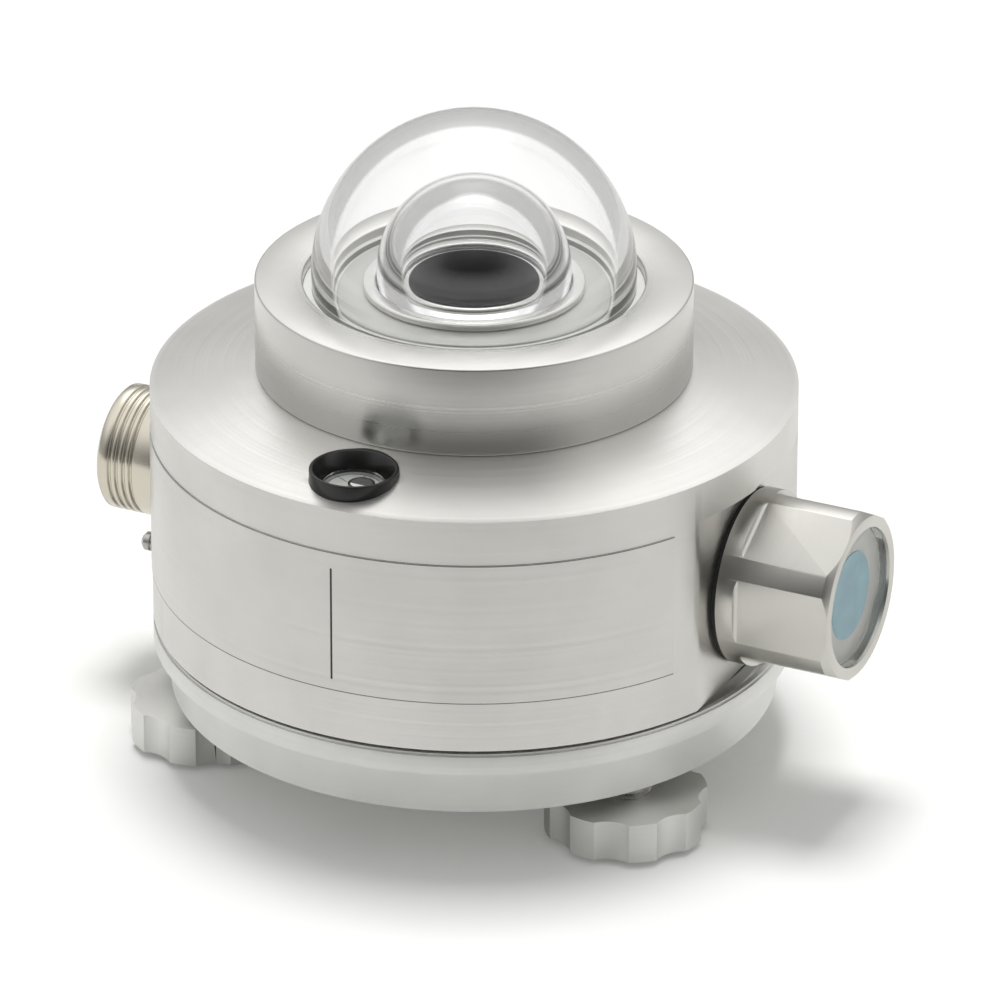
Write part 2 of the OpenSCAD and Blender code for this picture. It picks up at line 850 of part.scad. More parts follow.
module level_cup() {
    color("#2a2a28")
        level_place()
            rotate_extrude()
                polygon([
                    [0, level_floor_z],
                    [level_cup_r, level_floor_z],
                    [level_cup_r, level_top_z],
                    [level_cup_r - level_rim_t, level_top_z],
                    [level_vial_r + fit, level_lens_z],
                    [level_vial_r + fit, level_vial_z],
                    [0, level_vial_z]]);
}

module level_vial() {
    color("lightcyan", 0.5)
        level_place()
            difference() {
                cylinder_at(level_vial_r, level_vial_z, level_lens_z - level_lens_t);
                cylinder_at(level_vial_r - level_vial_wall, level_vial_z + level_vial_wall,
                    level_lens_z);
            }
}

module level_liquid() {
    liquid_top_z = level_lens_z - level_lens_t;
    color("yellowgreen", 0.6)
        level_place()
            difference() {
                cylinder_at(level_vial_r - level_vial_wall - fit, level_vial_z + level_vial_wall,
                    liquid_top_z);
                cylinder_at(bubble_r, liquid_top_z - bubble_h, liquid_top_z + cut);
            }
}

module level_lens() {
    color("lightgray", 0.5)
        level_place()
            cylinder_at(level_vial_r, level_lens_z - level_lens_t, level_lens_z);
}

module terminal_board() {
    color("seagreen")
        difference() {
            band(board_r, board_hole_r, board_z, block_z);
            around(board_screw_n, spacer_x, board_screw_angle)
                cylinder_at(board_screw_r + fit, board_z - cut, block_z + cut);
        }
}

module board_spacers() {
    color("lightgray")
        around(board_screw_n, spacer_x, board_screw_angle)
            band(spacer_r, board_screw_r + fit, pocket_floor_t, board_z);
}

module board_screws() {
    color("slategray")
        around(board_screw_n, spacer_x, board_screw_angle)
            rotate([180, 0, 0])
                cap_screw(board_screw_r, board_t + spacer_h + board_screw_in,
                    board_screw_r * head_r_share, board_screw_r * head_h_share, -block_z);
}

// Two blocks, for the sensor's wires and the connector's, with a slot over each wire
module terminal_blocks() {
    color("darkgreen")
        for (side = [-1, 1])
            translate([side * block_x, 0, block_z])
                difference() {
                    translate([-block_w / 2, -block_l / 2, 0])
                        cube([block_w, block_l, block_h]);
                    for (i = [-1, 1])
                        translate([i * block_w / 4 + wire_r / 2, 0, block_h * 3 / 4])
                            translate([-wire_r / 2, -block_l * 2 / 5, 0])
                                cube([wire_r, block_l * 4 / 5, block_h]);
                }
}

// Places what follows with +X along the connector's axis, outwards
module connector_place() {
    translate([0, 0, conn_z])
        rotate([0, 0, connector_angle])
            children();
}

module connector_shell() {
    color("#c8bfae")
        connector_place()
            difference() {
                union() {
                    bar_x(conn_r, conn_x, conn_end_x);
                    bar_x(conn_stem_r, conn_tail_x, conn_x + conn_gasket_t);
                }
                for (i = [0 : conn_grooves - 1])
                    let (x = conn_end_x - conn_rim_l - (i + 0.5) * conn_pitch)
                        difference() {
                            bar_x(conn_r + cut, x - conn_pitch / 4, x + conn_pitch / 4);
                            bar_x(conn_r - conn_groove_h, x - conn_pitch, x + conn_pitch);
                        }
                bar_x(socket_r, insert_step_x, conn_end_x + cut);
                bar_x(conn_stem_in_r, conn_tail_x - cut, conn_end_x);
            }
}

// Places the contact pins: one in the middle and the rest on a circle
module pin_places() {
    children();
    for (i = [0 : pin_count - 2])
        rotate([i * 360 / (pin_count - 1), 0, 0])
            translate([0, 0, pin_circle_share * socket_r])
                children();
}

module connector_insert() {
    color("#262626")
        connector_place()
            difference() {
                union() {
                    bar_x(socket_r - fit, insert_step_x, insert_front_x);
                    bar_x(conn_stem_in_r - fit, conn_tail_x, insert_front_x);
                }
                pin_places()
                    bar_x(pin_r + fit / 2, conn_tail_x - cut, insert_front_x + cut);
            }
}

module connector_pins() {
    color("gold")
        connector_place()
            pin_places()
                bar_x(pin_r, conn_tail_x - pin_tail, insert_front_x + pin_l);
}

module connector_gasket() {
    color("black")
        connector_place()
            difference() {
                bar_x(conn_r - 2 * nest, flat_x, conn_x);
                bar_x(conn_stem_r + fit, flat_x - cut, conn_x + cut);
            }
}

module connector_nut() {
    color("tan")
        connector_place()
            difference() {
                translate([conn_nut_x, 0, 0])
                    rotate([0, 90, 0])
                        cylinder(r = conn_nut_w / 2 - nest, h = conn_nut_t, $fn = 6);
                bar_x(conn_stem_r + fit, conn_nut_x - cut, conn_wall_x + cut);
            }
}

// Wires from the connector's tail, along +X and down to their terminal block
module connector_wires() {
    start_x = -conn_tail_x + pin_tail;
    bend_x = -block_x - wire_bend_r;
    color("royalblue")
        for (i = [0 : connector_wire_n - 1])
            translate([0, (i - (connector_wire_n - 1) / 2) * wire_pitch, conn_z]) {
                bar_x(wire_r, start_x, bend_x);
                translate([bend_x, 0, -wire_bend_r])
                    wire_bend();
                translate([-block_x, 0, 0])
                    cylinder_at(wire_r, block_top_z - conn_z, -wire_bend_r);
            }
}

module screen_stud() {
    color("gray")
        translate([-flat_x, -stud_side, housing_z + stud_lift]) {
            bar_x(stud_r, -stud_out + stud_r / 3, 0);
            bar_x(stud_root_r, 0, stud_in);
            translate([-stud_out, 0, 0])
                rotate([0, 90, 0])
                    cylinder(r1 = stud_r * 2 / 3, r2 = stud_r, h = stud_r / 3);
        }
}

// Places what follows with +X along the holder's axis, outwards
module holder_place() {
    translate([0, 0, holder_z])
        children();
}

module holder_seal() {
    color("black")
        holder_place()
            difference() {
                bar_x(holder_r - 2 * nest, holder_seal_x, holder_seal_x + holder_seal_t);
                bar_x(stem_r + fit + nest, 0, holder_end_x);
            }
}

module desiccant_holder() {
    flats_x = holder_x + holder_flange_t;
    color("gainsboro")
        holder_place()
            difference() {
                union() {
                    bar_x(stem_r, stem_end_x, holder_x + cut);
                    bar_x(holder_r, holder_x, flats_x);
                    intersection() {
                        bar_x(holder_r, holder_x, holder_end_x - holder_chamfer);
                        holder_hexagon();
                    }
                    intersection() {
                        translate([holder_end_x - holder_chamfer, 0, 0])
                            rotate([0, 90, 0])
                                cylinder(r1 = holder_r, r2 = holder_r - holder_chamfer,
                                    h = holder_chamfer);
                        holder_hexagon();
                    }
                }
                bar_x(stem_in_r, stem_end_x - cut, holder_end_x + cut);
                bar_x(window_r, card_x, holder_end_x + cut);
            }
}

// The wrench hexagon, one pair of its flats upright
module holder_hexagon() {
    translate([holder_x, 0, 0])
        rotate([0, 90, 0])
            cylinder(r = holder_flats / sqrt(3), h = holder_l, $fn = 6);
}

module indicator_window() {
    color("lightcyan", 0.4)
        holder_place()
            bar_x(window_r - fit, window_x, window_x + window_t);
}

module humidity_indicator() {
    color("#9fc4cf")
        holder_place()
            bar_x(indicator_r, indicator_x, window_x);
}

module indicator_card() {
    color("white")
        holder_place()
            bar_x(window_r - fit, card_x, indicator_x);
}

// Two flat bags of silica gel, one over the other
module desiccant_bags() {
    bag_t = bag_t_share * stem_in_r;
    bag_w = bag_w_share * stem_in_r;
    color("ivory")
        holder_place()
            for (side = [-1, 1])
                translate([screen_x + nest, 0, side * (bag_t / 2 + fit)])
                    rotate([90, 0, 90])
                        linear_extrude(bag_l)
                            union() {
                                square([bag_w - bag_t, bag_t], center = true);
                                for (end = [-1, 1])
                                    translate([end * (bag_w - bag_t) / 2, 0])
                                        circle(d = bag_t);
                            }
}

module bag_screen() {
    color("gray")
        holder_place()
            difference() {
                bar_x(stem_in_r - fit, stem_end_x, screen_x);
                bar_x(screen_hole_r, stem_end_x - cut, screen_x + cut);
                for (i = [0 : screen_holes - 1])
                    rotate([i * 360 / screen_holes, 0, 0])
                        translate([0, 0, screen_circle_share * stem_in_r])
                            bar_x(screen_hole_r, stem_end_x - cut, screen_x + cut);
            }
}

// Places what follows on a foot's axis
module foot_place(angle) {
    rotate([0, 0, angle])
        translate([foot_x, 0, 0])
            children();
}

module fixed_foot() {
    color("darkgray")
        foot_place(fixed_foot_angle) {
            cylinder_at(foot_screw_r, 0, foot_screw_in);
            rotate_extrude()
                polygon([
                    [0, -foot_h],
                    [fixed_foot_r - knob_chamfer, -foot_h],
                    [fixed_foot_r, knob_chamfer - foot_h],
                    [fixed_foot_r, 0],
                    [0, 0]]);
        }
}

// A levelling foot's pad, which stands still on the ground
module foot_pad(angle) {
    foot_place(angle) {
        cylinder_at(pad_r, -foot_h, pad_top_z);
        cylinder_at(spigot_r, -foot_h, knob_foot_z + spigot_l);
    }
}

module foot_screw(angle) {
    foot_place(angle)
        difference() {
            cylinder_at(foot_screw_r, knob_foot_z, foot_screw_in);
            cylinder_at(spigot_r + fit, knob_foot_z - cut, knob_foot_z + spigot_l + fit);
        }
}

module foot_knob(angle) {
    foot_place(angle)
        difference() {
            rotate_extrude()
                polygon([
                    [foot_screw_r + fit, knob_foot_z],
                    [knob_r - knob_chamfer, knob_foot_z],
                    [knob_r, knob_foot_z + knob_chamfer],
                    [knob_r, knob_top_z - knob_chamfer],
                    [knob_r - knob_chamfer, knob_top_z],
                    [foot_screw_r + fit, knob_top_z]]);
            around(knob_scallops, knob_r + scallop_r - scallop_h)
                cylinder_at(scallop_r, knob_foot_z - cut, knob_top_z + cut);
        }
}

module foot_pad_right() { color("dimgray") foot_pad(foot_angle_right); }
module foot_screw_right() { color("silver") foot_screw(foot_angle_right); }
module foot_knob_right() { color("lightgray") foot_knob(foot_angle_right); }
module foot_pad_left() { color("dimgray") foot_pad(foot_angle_left); }
module foot_screw_left() { color("silver") foot_screw(foot_angle_left); }
module foot_knob_left() { color("lightgray") foot_knob(foot_angle_left); }

housing();
base();
base_seal();
base_screws();
label();
dome_ring();
dome_ring_seal();
dome_ring_screws();
outer_dome();
outer_dome_bond();
sensor_deck();
deck_screws();
inner_dome_ring();
inner_dome();
inner_dome_bond();
sensor_pedestal();
thermopile();
absorber();
thermistor();
sensor_wires();
level_cup();
level_vial();
level_liquid();
level_lens();
terminal_board();
board_spacers();
board_screws();
terminal_blocks();
connector_shell();
connector_insert();
connector_pins();
connector_gasket();
connector_nut();
connector_wires();
screen_stud();
holder_seal();
desiccant_holder();
indicator_window();
humidity_indicator();
indicator_card();
desiccant_bags();
bag_screen();
fixed_foot();
foot_pad_right();
foot_screw_right();
foot_knob_right();
foot_pad_left();
foot_screw_left();
foot_knob_left();
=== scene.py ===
from math import cos, radians, sin, sqrt

import bpy
from mathutils import Euler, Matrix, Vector


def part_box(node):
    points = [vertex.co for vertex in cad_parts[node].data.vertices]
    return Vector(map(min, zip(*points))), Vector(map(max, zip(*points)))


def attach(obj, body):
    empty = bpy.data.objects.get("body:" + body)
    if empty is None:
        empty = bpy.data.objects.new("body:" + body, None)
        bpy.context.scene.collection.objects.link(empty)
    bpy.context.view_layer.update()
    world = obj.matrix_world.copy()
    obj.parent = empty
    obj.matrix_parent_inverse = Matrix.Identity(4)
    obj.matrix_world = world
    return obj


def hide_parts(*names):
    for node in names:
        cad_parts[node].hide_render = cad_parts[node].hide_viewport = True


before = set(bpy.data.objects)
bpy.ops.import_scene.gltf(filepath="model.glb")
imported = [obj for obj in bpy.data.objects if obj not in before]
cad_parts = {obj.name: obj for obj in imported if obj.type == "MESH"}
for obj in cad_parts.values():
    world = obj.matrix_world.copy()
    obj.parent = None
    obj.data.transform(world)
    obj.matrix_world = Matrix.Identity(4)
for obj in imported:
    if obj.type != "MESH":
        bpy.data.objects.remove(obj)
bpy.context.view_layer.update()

# Base
# A round plate turned from an aluminium billet and clear anodised. It closes the housing
# from below, carries the feet and the mounting threads, and holds the terminal board in a
# pocket in its top. Three screws from below hold it to the housing.
MM = 0.001
turning_sides = 192
small_sides = 64
edge_break = 0.22
base_low_r = 47.4
base_low_h = 7.5
lip_out_r = 49.6
lip_in_r = 48.7
lip_step = 0.4
lip_groove_z = 8.8
land_r = 46.5
pocket_r = 27
pocket_floor_z = 6
hub_r = 7.2
centre_hole_r = 2.5
centre_hole_h = 9
relief_in_r = 14.4
relief_out_r = 28
relief_h = 1
side_hole_x = 32.5
side_hole_r = 2.1
side_hole_h = 8
foot_circle_r = 41.5
foot_hole_r = 4.05
foot_hole_h = 9.85
base_screw_angles = (30, 150, 270)
base_screw_head_r = 3.75
base_screw_head_z = 4.2
base_screw_hole_r = 2.25
# How far a cutter runs past the surface that it opens
overrun = 1


def clear_selection():
    bpy.ops.object.select_all(action="DESELECT")


def pick(piece):
    """Selects one object alone, and makes it the active one"""
    clear_selection()
    piece.select_set(True)
    bpy.context.view_layer.objects.active = piece


def settle(piece, place=(0, 0, 0), turn=(0, 0, 0)):
    """Puts the piece's place into its mesh, then turns it in degrees and moves it in mm"""
    pick(piece)
    bpy.ops.object.transform_apply(location=True, rotation=True, scale=True)
    piece.rotation_euler = [radians(a) for a in turn]
    piece.location = [v * MM for v in place]
    bpy.ops.object.transform_apply(location=True, rotation=True, scale=True)
    return piece


def turned(name, outline, sides=turning_sides):
    """A turned form about Z: a circle drawn in edit mode through the outline, which is a
    list of (radius, height) in mm. It may start and end on the axis, or close on itself."""
    points = [(r * MM, z * MM) for r, z in outline]
    starts_on_axis = points[0][0] == 0
    if starts_on_axis:
        points = points[1:]
    clear_selection()
    bpy.ops.mesh.primitive_circle_add(
        vertices=sides, radius=points[0][0], location=(0, 0, points[0][1]),
        fill_type="TRIFAN" if starts_on_axis else "NOTHING")
    piece = bpy.context.object
    piece.name = piece.data.name = name
    bpy.ops.object.mode_set(mode="EDIT")
    if starts_on_axis:
        bpy.ops.mesh.region_to_loop()
    for (r0, z0), (r1, z1) in zip(points, points[1:]):
        bpy.ops.mesh.extrude_edges_move(TRANSFORM_OT_translate={"value": (0, 0, z1 - z0)})
        if r1 == 0:
            bpy.ops.mesh.merge(type="CENTER")
        elif r1 != r0:
            bpy.ops.transform.resize(value=(r1 / r0, r1 / r0, 1), center_override=(0, 0, z1))
    bpy.ops.mesh.select_all(action="SELECT")
    bpy.ops.mesh.remove_doubles(threshold=0.002 * MM)
    bpy.ops.mesh.normals_make_consistent(inside=False)
    bpy.ops.object.mode_set(mode="OBJECT")
    return settle(piece)


def apply_modifier(piece, kind, **settings):
    pick(piece)
    modifier = piece.modifiers.new(kind.title(), kind)
    for name, value in settings.items():
        setattr(modifier, name, value)
    bpy.ops.object.modifier_apply(modifier=modifier.name)


def bored(piece, cutters, operation="DIFFERENCE"):
    """Cuts the cutters out of the piece, or adds them to it, one after another"""
    for cutter in cutters:
        apply_modifier(piece, "BOOLEAN", object=cutter, operation=operation, solver="EXACT")
        bpy.data.objects.remove(cutter)
    return piece


def drill(radius, place, length, turn=(0, 0, 0), sides=small_sides):
    """A cylinder from its place along its turned Z, for a bore or a boss"""
    clear_selection()
    bpy.ops.mesh.primitive_cylinder_add(vertices=sides, radius=radius * MM, depth=length * MM)
    cylinder = bpy.context.object
    settle(cylinder, (0, 0, length / 2))
    return settle(cylinder, place, turn)


def rounded(piece, width, segments=2, angle=32):
    """Breaks every edge sharper than the angle"""
    apply_modifier(piece, "BEVEL", width=width * MM, segments=segments, limit_method="ANGLE",
                   angle_limit=radians(angle), miter_outer="MITER_ARC", harden_normals=False)
    return piece


def around(angle, radius, z=0):
    return (radius * cos(radians(angle)), radius * sin(radians(angle)), z)


def linear(colour):
    """An sRGB hex colour as the linear one that the nodes take"""
    parts = [int(colour[i:i + 2], 16) / 255 for i in (1, 3, 5)]
    return [c / 12.92 if c <= 0.04045 else ((c + 0.055) / 1.055) ** 2.4 for c in parts] + [1]


def add_node(material, kind, inputs=None, **settings):
    """Adds a node with its settings, and gives each input a value or the socket that feeds it"""
    node = material.node_tree.nodes.new(kind)
    for name, value in settings.items():
        setattr(node, name, value)
    for name, value in (inputs or {}).items():
        if isinstance(value, bpy.types.NodeSocket):
            material.node_tree.links.new(value, node.inputs[name])
        else:
            node.inputs[name].default_value = value
    return node


def new_material(name):
    """A material with a lone Principled shader, and that shader"""
    material = bpy.data.materials.new(name)
    material.use_nodes = True
    return material, material.node_tree.nodes["Principled BSDF"]


def turned_metal(name, colour, roughness, line_pitch, place=(0, 0, 0), turn=(0, 0, 0),
                 depth=0.006, unevenness=0.05, across=0.7):
    """Metal turned on a lathe and then anodised or plated: satin, with faint rings round the
    axis at the place in mm. The tool's real lines are 0.05 to 0.1 mm apart, too fine to
    show, so they are drawn at the line pitch."""
    material, shader = new_material(name)
    shader.inputs["Metallic"].default_value = 1
    where = add_node(material, "ShaderNodeTexCoord").outputs["Object"]
    local = add_node(material, "ShaderNodeMapping", {
        "Vector": where, "Location": [-v * MM for v in place]})
    local = add_node(material, "ShaderNodeMapping", {
        "Vector": local.outputs[0], "Rotation": [-radians(a) for a in turn]}).outputs[0]
    parts = add_node(material, "ShaderNodeSeparateXYZ", {"Vector": local})
    flat = add_node(material, "ShaderNodeCombineXYZ", {
        "X": parts.outputs["X"], "Y": parts.outputs["Y"]})
    reach = add_node(material, "ShaderNodeVectorMath", {0: flat.outputs[0]}, operation="LENGTH")
    along = add_node(material, "ShaderNodeMath", {
        0: reach.outputs["Value"], 1: parts.outputs["Z"]}, operation="ADD").outputs[0]
    rings = add_node(material, "ShaderNodeTexNoise", {
        "W": along, "Scale": 1 / (2 * line_pitch * MM), "Detail": 3}, noise_dimensions="1D")
    grain = add_node(material, "ShaderNodeTexNoise", {
        "Vector": where, "Scale": 1 / (0.5 * MM), "Detail": 2})
    cloud = add_node(material, "ShaderNodeTexNoise", {
        "Vector": where, "Scale": 1 / (18 * MM), "Detail": 3})
    shade = add_node(material, "ShaderNodeMapRange", {
        "Value": cloud.outputs["Fac"], "From Min": 0.3, "From Max": 0.7,
        "To Min": 1 - unevenness, "To Max": 1 + unevenness})
    scaled = add_node(material, "ShaderNodeVectorMath", {
        0: linear(colour)[:3], "Scale": shade.outputs[0]}, operation="SCALE")
    rough = add_node(material, "ShaderNodeMapRange", {
        "Value": rings.outputs["Fac"], "From Min": 0.3, "From Max": 0.7,
        "To Min": roughness - 0.03, "To Max": roughness + 0.03})
    height = add_node(material, "ShaderNodeMath", {
        0: rings.outputs["Fac"], 1: grain.outputs["Fac"]}, operation="ADD")
    bump = add_node(material, "ShaderNodeBump", {
        "Height": height.outputs[0], "Strength": 1, "Distance": depth * MM})
    links = material.node_tree.links
    links.new(scaled.outputs[0], shader.inputs["Base Color"])
    links.new(rough.outputs[0], shader.inputs["Roughness"])
    links.new(bump.outputs[0], shader.inputs["Normal"])
    axis = Vector((0, 0, 1))
    axis.rotate(Euler([radians(a) for a in turn]))
    from_axis = add_node(material, "ShaderNodeVectorMath", {
        0: where, 1: [v * MM for v in place]}, operation="SUBTRACT")
    along_line = add_node(material, "ShaderNodeVectorMath", {
        0: axis, 1: from_axis.outputs[0]}, operation="CROSS_PRODUCT")
    in_world = add_node(material, "ShaderNodeVectorTransform", {
        "Vector": along_line.outputs[0]}, vector_type="VECTOR",
        convert_from="OBJECT", convert_to="WORLD")
    line_way = add_node(material, "ShaderNodeVectorMath", {
        0: in_world.outputs[0]}, operation="NORMALIZE")
    links.new(line_way.outputs[0], shader.inputs["Tangent"])
    shader.inputs["Anisotropic"].default_value = across
    shader.inputs["Anisotropic Rotation"].default_value = 0.25
    return material


def finished(piece, material, body, *nodes, slot=None, angle=35):
    """Smooths the piece, gives it its material and its body, and hides the nodes it stands for"""
    pick(piece)
    bpy.ops.object.shade_smooth_by_angle(angle=radians(angle))
    piece.data.materials.clear()
    piece.data.materials.append(material)
    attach(piece, body)
    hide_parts(*nodes)
    return piece


base_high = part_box("base")[1] / MM
base_r = base_high.y
base_top_z = base_high.z
base = turned("base_plate", [
    (0, centre_hole_h), (centre_hole_r, centre_hole_h), (centre_hole_r, 0),
    (relief_in_r, 0), (relief_in_r, relief_h), (relief_out_r, relief_h), (relief_out_r, 0),
    (base_low_r, 0), (base_low_r, base_low_h), (base_r, base_low_h),
    (base_r, base_top_z - lip_step), (lip_out_r, base_top_z - lip_step),
    (lip_out_r, base_top_z), (lip_in_r, base_top_z), (lip_in_r, lip_groove_z),
    (land_r, lip_groove_z), (land_r, base_top_z), (pocket_r, base_top_z),
    (pocket_r, pocket_floor_z), (hub_r, pocket_floor_z), (hub_r, base_top_z),
    (0, base_top_z)])
holes = [drill(side_hole_r, (side * side_hole_x, 0, -overrun), side_hole_h + overrun)
         for side in (-1, 1)]
holes += [drill(foot_hole_r, around(angle, foot_circle_r, -overrun), foot_hole_h + overrun)
          for angle in (-30, -150, 90)]
for angle in base_screw_angles:
    below_screw = around(angle, foot_circle_r, -overrun)
    holes.append(drill(base_screw_hole_r, below_screw, base_top_z + 2 * overrun))
    holes.append(drill(base_screw_head_r, below_screw, base_screw_head_z + overrun))
bored(base, holes)
rounded(base, edge_break)
# Paler and softer than the housing's finish: the base shows hardly any of its turning lines
base_metal = turned_metal("billet_aluminium_clear_anodised", "#E8E8E5", 0.48, 0.3)
finished(base, base_metal, "body", "base", slot="cast_aluminium")


# Housing
# One turned aluminium shell, clear anodised to a satin finish: an upright side, a shoulder
# that rises gently to the dome ring, and a roof. Two flats are milled into its side for the
# desiccant holder and the connector, each with a round spot face.
housing_low, housing_high = (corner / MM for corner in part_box("housing"))
housing_r = housing_high.y
flat_x = 46.6
housing_z = housing_low.z
seat_z = housing_high.z
shoulder_z = 50.04
flat_top_z = 43.9
wall = 6.5
roof_hole_r = 20
roof_z = 48.2
ring_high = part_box("dome_ring")[1] / MM
ring_r = ring_high.x
holder_z = 27.0
connector_z = 26.2
holder_bore_r = 10.05
holder_bore_start_x = 30
holder_spot_r = 17.6
connector_bore_r = 8.05
connector_bore_start_x = 35
connector_spot_r = 13.85
level_y = -41.2
level_hole_r = 6.85
level_floor_z = 44.5
level_cut_h = 20
flat_cut_z = housing_z - 5
post_r = 4.6
post_h = 14
holder_boss_r = 13.5
holder_boss_x = (33, flat_x - 2)
connector_boss_r = 12
connector_boss_x = (41.2, flat_x - 1)
level_boss_r = 8.5
level_boss_z = (42, 50)
thread_hole_r = 2.05
thread_hole_h = 10
stud_y, stud_z = -12.0, 16.8
stud_hole_h = 3.8
shoulder_rings = 16
x_axis_turn = (0, 90, 0)
minus_x_turn = (0, -90, 0)


def block(low, high):
    """A cube drawn out to a box between two corners in mm"""
    clear_selection()
    bpy.ops.mesh.primitive_cube_add(size=MM)
    cube = bpy.context.object
    cube.scale = [b - a for a, b in zip(low, high)]
    return settle(cube, [(a + b) / 2 for a, b in zip(low, high)])


# Rings in the shoulder keep the shading even round the level's hole
shoulder = [(housing_r + (ring_r - housing_r) * i / shoulder_rings,
             shoulder_z + (seat_z - shoulder_z) * i / shoulder_rings)
            for i in range(shoulder_rings + 1)]
housing = turned("housing_shell", [
    (housing_r - wall, housing_z), (housing_r, housing_z), *shoulder,
    (roof_hole_r, seat_z), (roof_hole_r, roof_z),
    (housing_r - wall, roof_z), (housing_r - wall, housing_z)])
bosses = [drill(post_r, around(angle, foot_circle_r - 1, housing_z), post_h)
          for angle in base_screw_angles]
bosses += [
    drill(holder_boss_r, (holder_boss_x[0], 0, holder_z),
          holder_boss_x[1] - holder_boss_x[0], x_axis_turn),
    drill(connector_boss_r, (-connector_boss_x[0], 0, connector_z),
          connector_boss_x[1] - connector_boss_x[0], minus_x_turn),
    drill(level_boss_r, (0, level_y + 1, level_boss_z[0]), level_boss_z[1] - level_boss_z[0])]
bored(housing, bosses, "UNION")
reach = 2 * housing_r
bored(housing, [
    block((flat_x, -reach, flat_cut_z), (reach, reach, flat_top_z)),
    block((-reach, -reach, flat_cut_z), (-flat_x, reach, flat_top_z)),
    drill(holder_spot_r, (flat_x, 0, holder_z), reach, x_axis_turn, turning_sides),
    drill(connector_spot_r, (-flat_x, 0, connector_z), reach, minus_x_turn, turning_sides),
    drill(holder_bore_r, (holder_bore_start_x, 0, holder_z), reach, x_axis_turn),
    drill(connector_bore_r, (-connector_bore_start_x, 0, connector_z), reach, minus_x_turn),
    drill(level_hole_r, (0, level_y, level_floor_z), level_cut_h, sides=128)]
    + [drill(thread_hole_r, around(angle, foot_circle_r, housing_z - overrun),
             thread_hole_h + overrun) for angle in base_screw_angles]
    + [drill(thread_hole_r, (-flat_x - overrun, stud_y, stud_z), stud_hole_h + overrun,
             x_axis_turn)])
rounded(housing, edge_break)
# A silky sheen that runs across the lines, so that the light fans out over the shoulder
housing_metal = turned_metal("turned_aluminium_clear_anodised", "#D9D8D4", 0.34, 0.25)
finished(housing, housing_metal, "body", "housing", slot="anodised_aluminium")


# Label
# A strip of satin foil printed in black and stuck round the side between the two flats. Its
# print is left off apart from the plain lines along both edges and one upright divider.
label_low, label_high = (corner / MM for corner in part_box("label"))
label_line_w = 0.16
label_line_in = 0.1
divider_angle = -89.4
divider_low_z = 21.6
divider_high_z = 40.2


def dressed(node, material):
    """Gives a node of the frame a finished material in each of its slots"""
    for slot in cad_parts[node].material_slots:
        slot.material = material


def strip_mask(material, value, middle, half_width):
    """1 where the value lies within half a width of the middle, and 0 elsewhere"""
    gap = add_node(material, "ShaderNodeMath", {0: value, 1: middle}, operation="SUBTRACT")
    size = add_node(material, "ShaderNodeMath", {0: gap.outputs[0]}, operation="ABSOLUTE")
    return add_node(material, "ShaderNodeMath", {
        0: size.outputs[0], 1: half_width}, operation="LESS_THAN").outputs[0]


# Brushed foil: the housing's silver with calmer lines, and the print flat and dark on it
label_line_half_w = label_line_w / 2
divider_half_w = 0.17
label_foil = turned_metal("satin_label_foil", "#D7D6D2", 0.34, 0.4, depth=0.002)
shader = label_foil.node_tree.nodes["Principled BSDF"]
foil_colour = shader.inputs["Base Color"].links[0].from_socket
where = add_node(label_foil, "ShaderNodeTexCoord").outputs["Object"]
parts = add_node(label_foil, "ShaderNodeSeparateXYZ", {"Vector": where})
bearing = add_node(label_foil, "ShaderNodeMath", {
    0: parts.outputs["Y"], 1: parts.outputs["X"]}, operation="ARCTAN2").outputs[0]
top_line, foot_line = (
    strip_mask(label_foil, parts.outputs["Z"], z * MM, label_line_half_w * MM)
    for z in (label_high.z - label_line_in, label_low.z + label_line_in))
divider = strip_mask(label_foil, bearing, radians(divider_angle), divider_half_w / housing_r)
divider_span = strip_mask(label_foil, parts.outputs["Z"],
                          (divider_low_z + divider_high_z) / 2 * MM,
                          (divider_high_z - divider_low_z) / 2 * MM)
divider = add_node(label_foil, "ShaderNodeMath", {
    0: divider, 1: divider_span}, operation="MULTIPLY").outputs[0]
lines = add_node(label_foil, "ShaderNodeMath", {0: top_line, 1: foot_line}, operation="MAXIMUM")
faint = add_node(label_foil, "ShaderNodeMath", {
    0: lines.outputs[0], 1: 0.75}, operation="MULTIPLY")
print_mask = add_node(label_foil, "ShaderNodeMath", {
    0: faint.outputs[0], 1: divider}, operation="MAXIMUM").outputs[0]
inked = add_node(label_foil, "ShaderNodeMix", {
    0: print_mask, 6: foil_colour, 7: linear("#2B2B2A")}, data_type="RGBA")
bare = add_node(label_foil, "ShaderNodeMath", {
    0: 1.0, 1: print_mask}, operation="SUBTRACT").outputs[0]
label_foil.node_tree.links.new(inked.outputs[2], shader.inputs["Base Color"])
label_foil.node_tree.links.new(bare, shader.inputs["Metallic"])
dressed("label", label_foil)


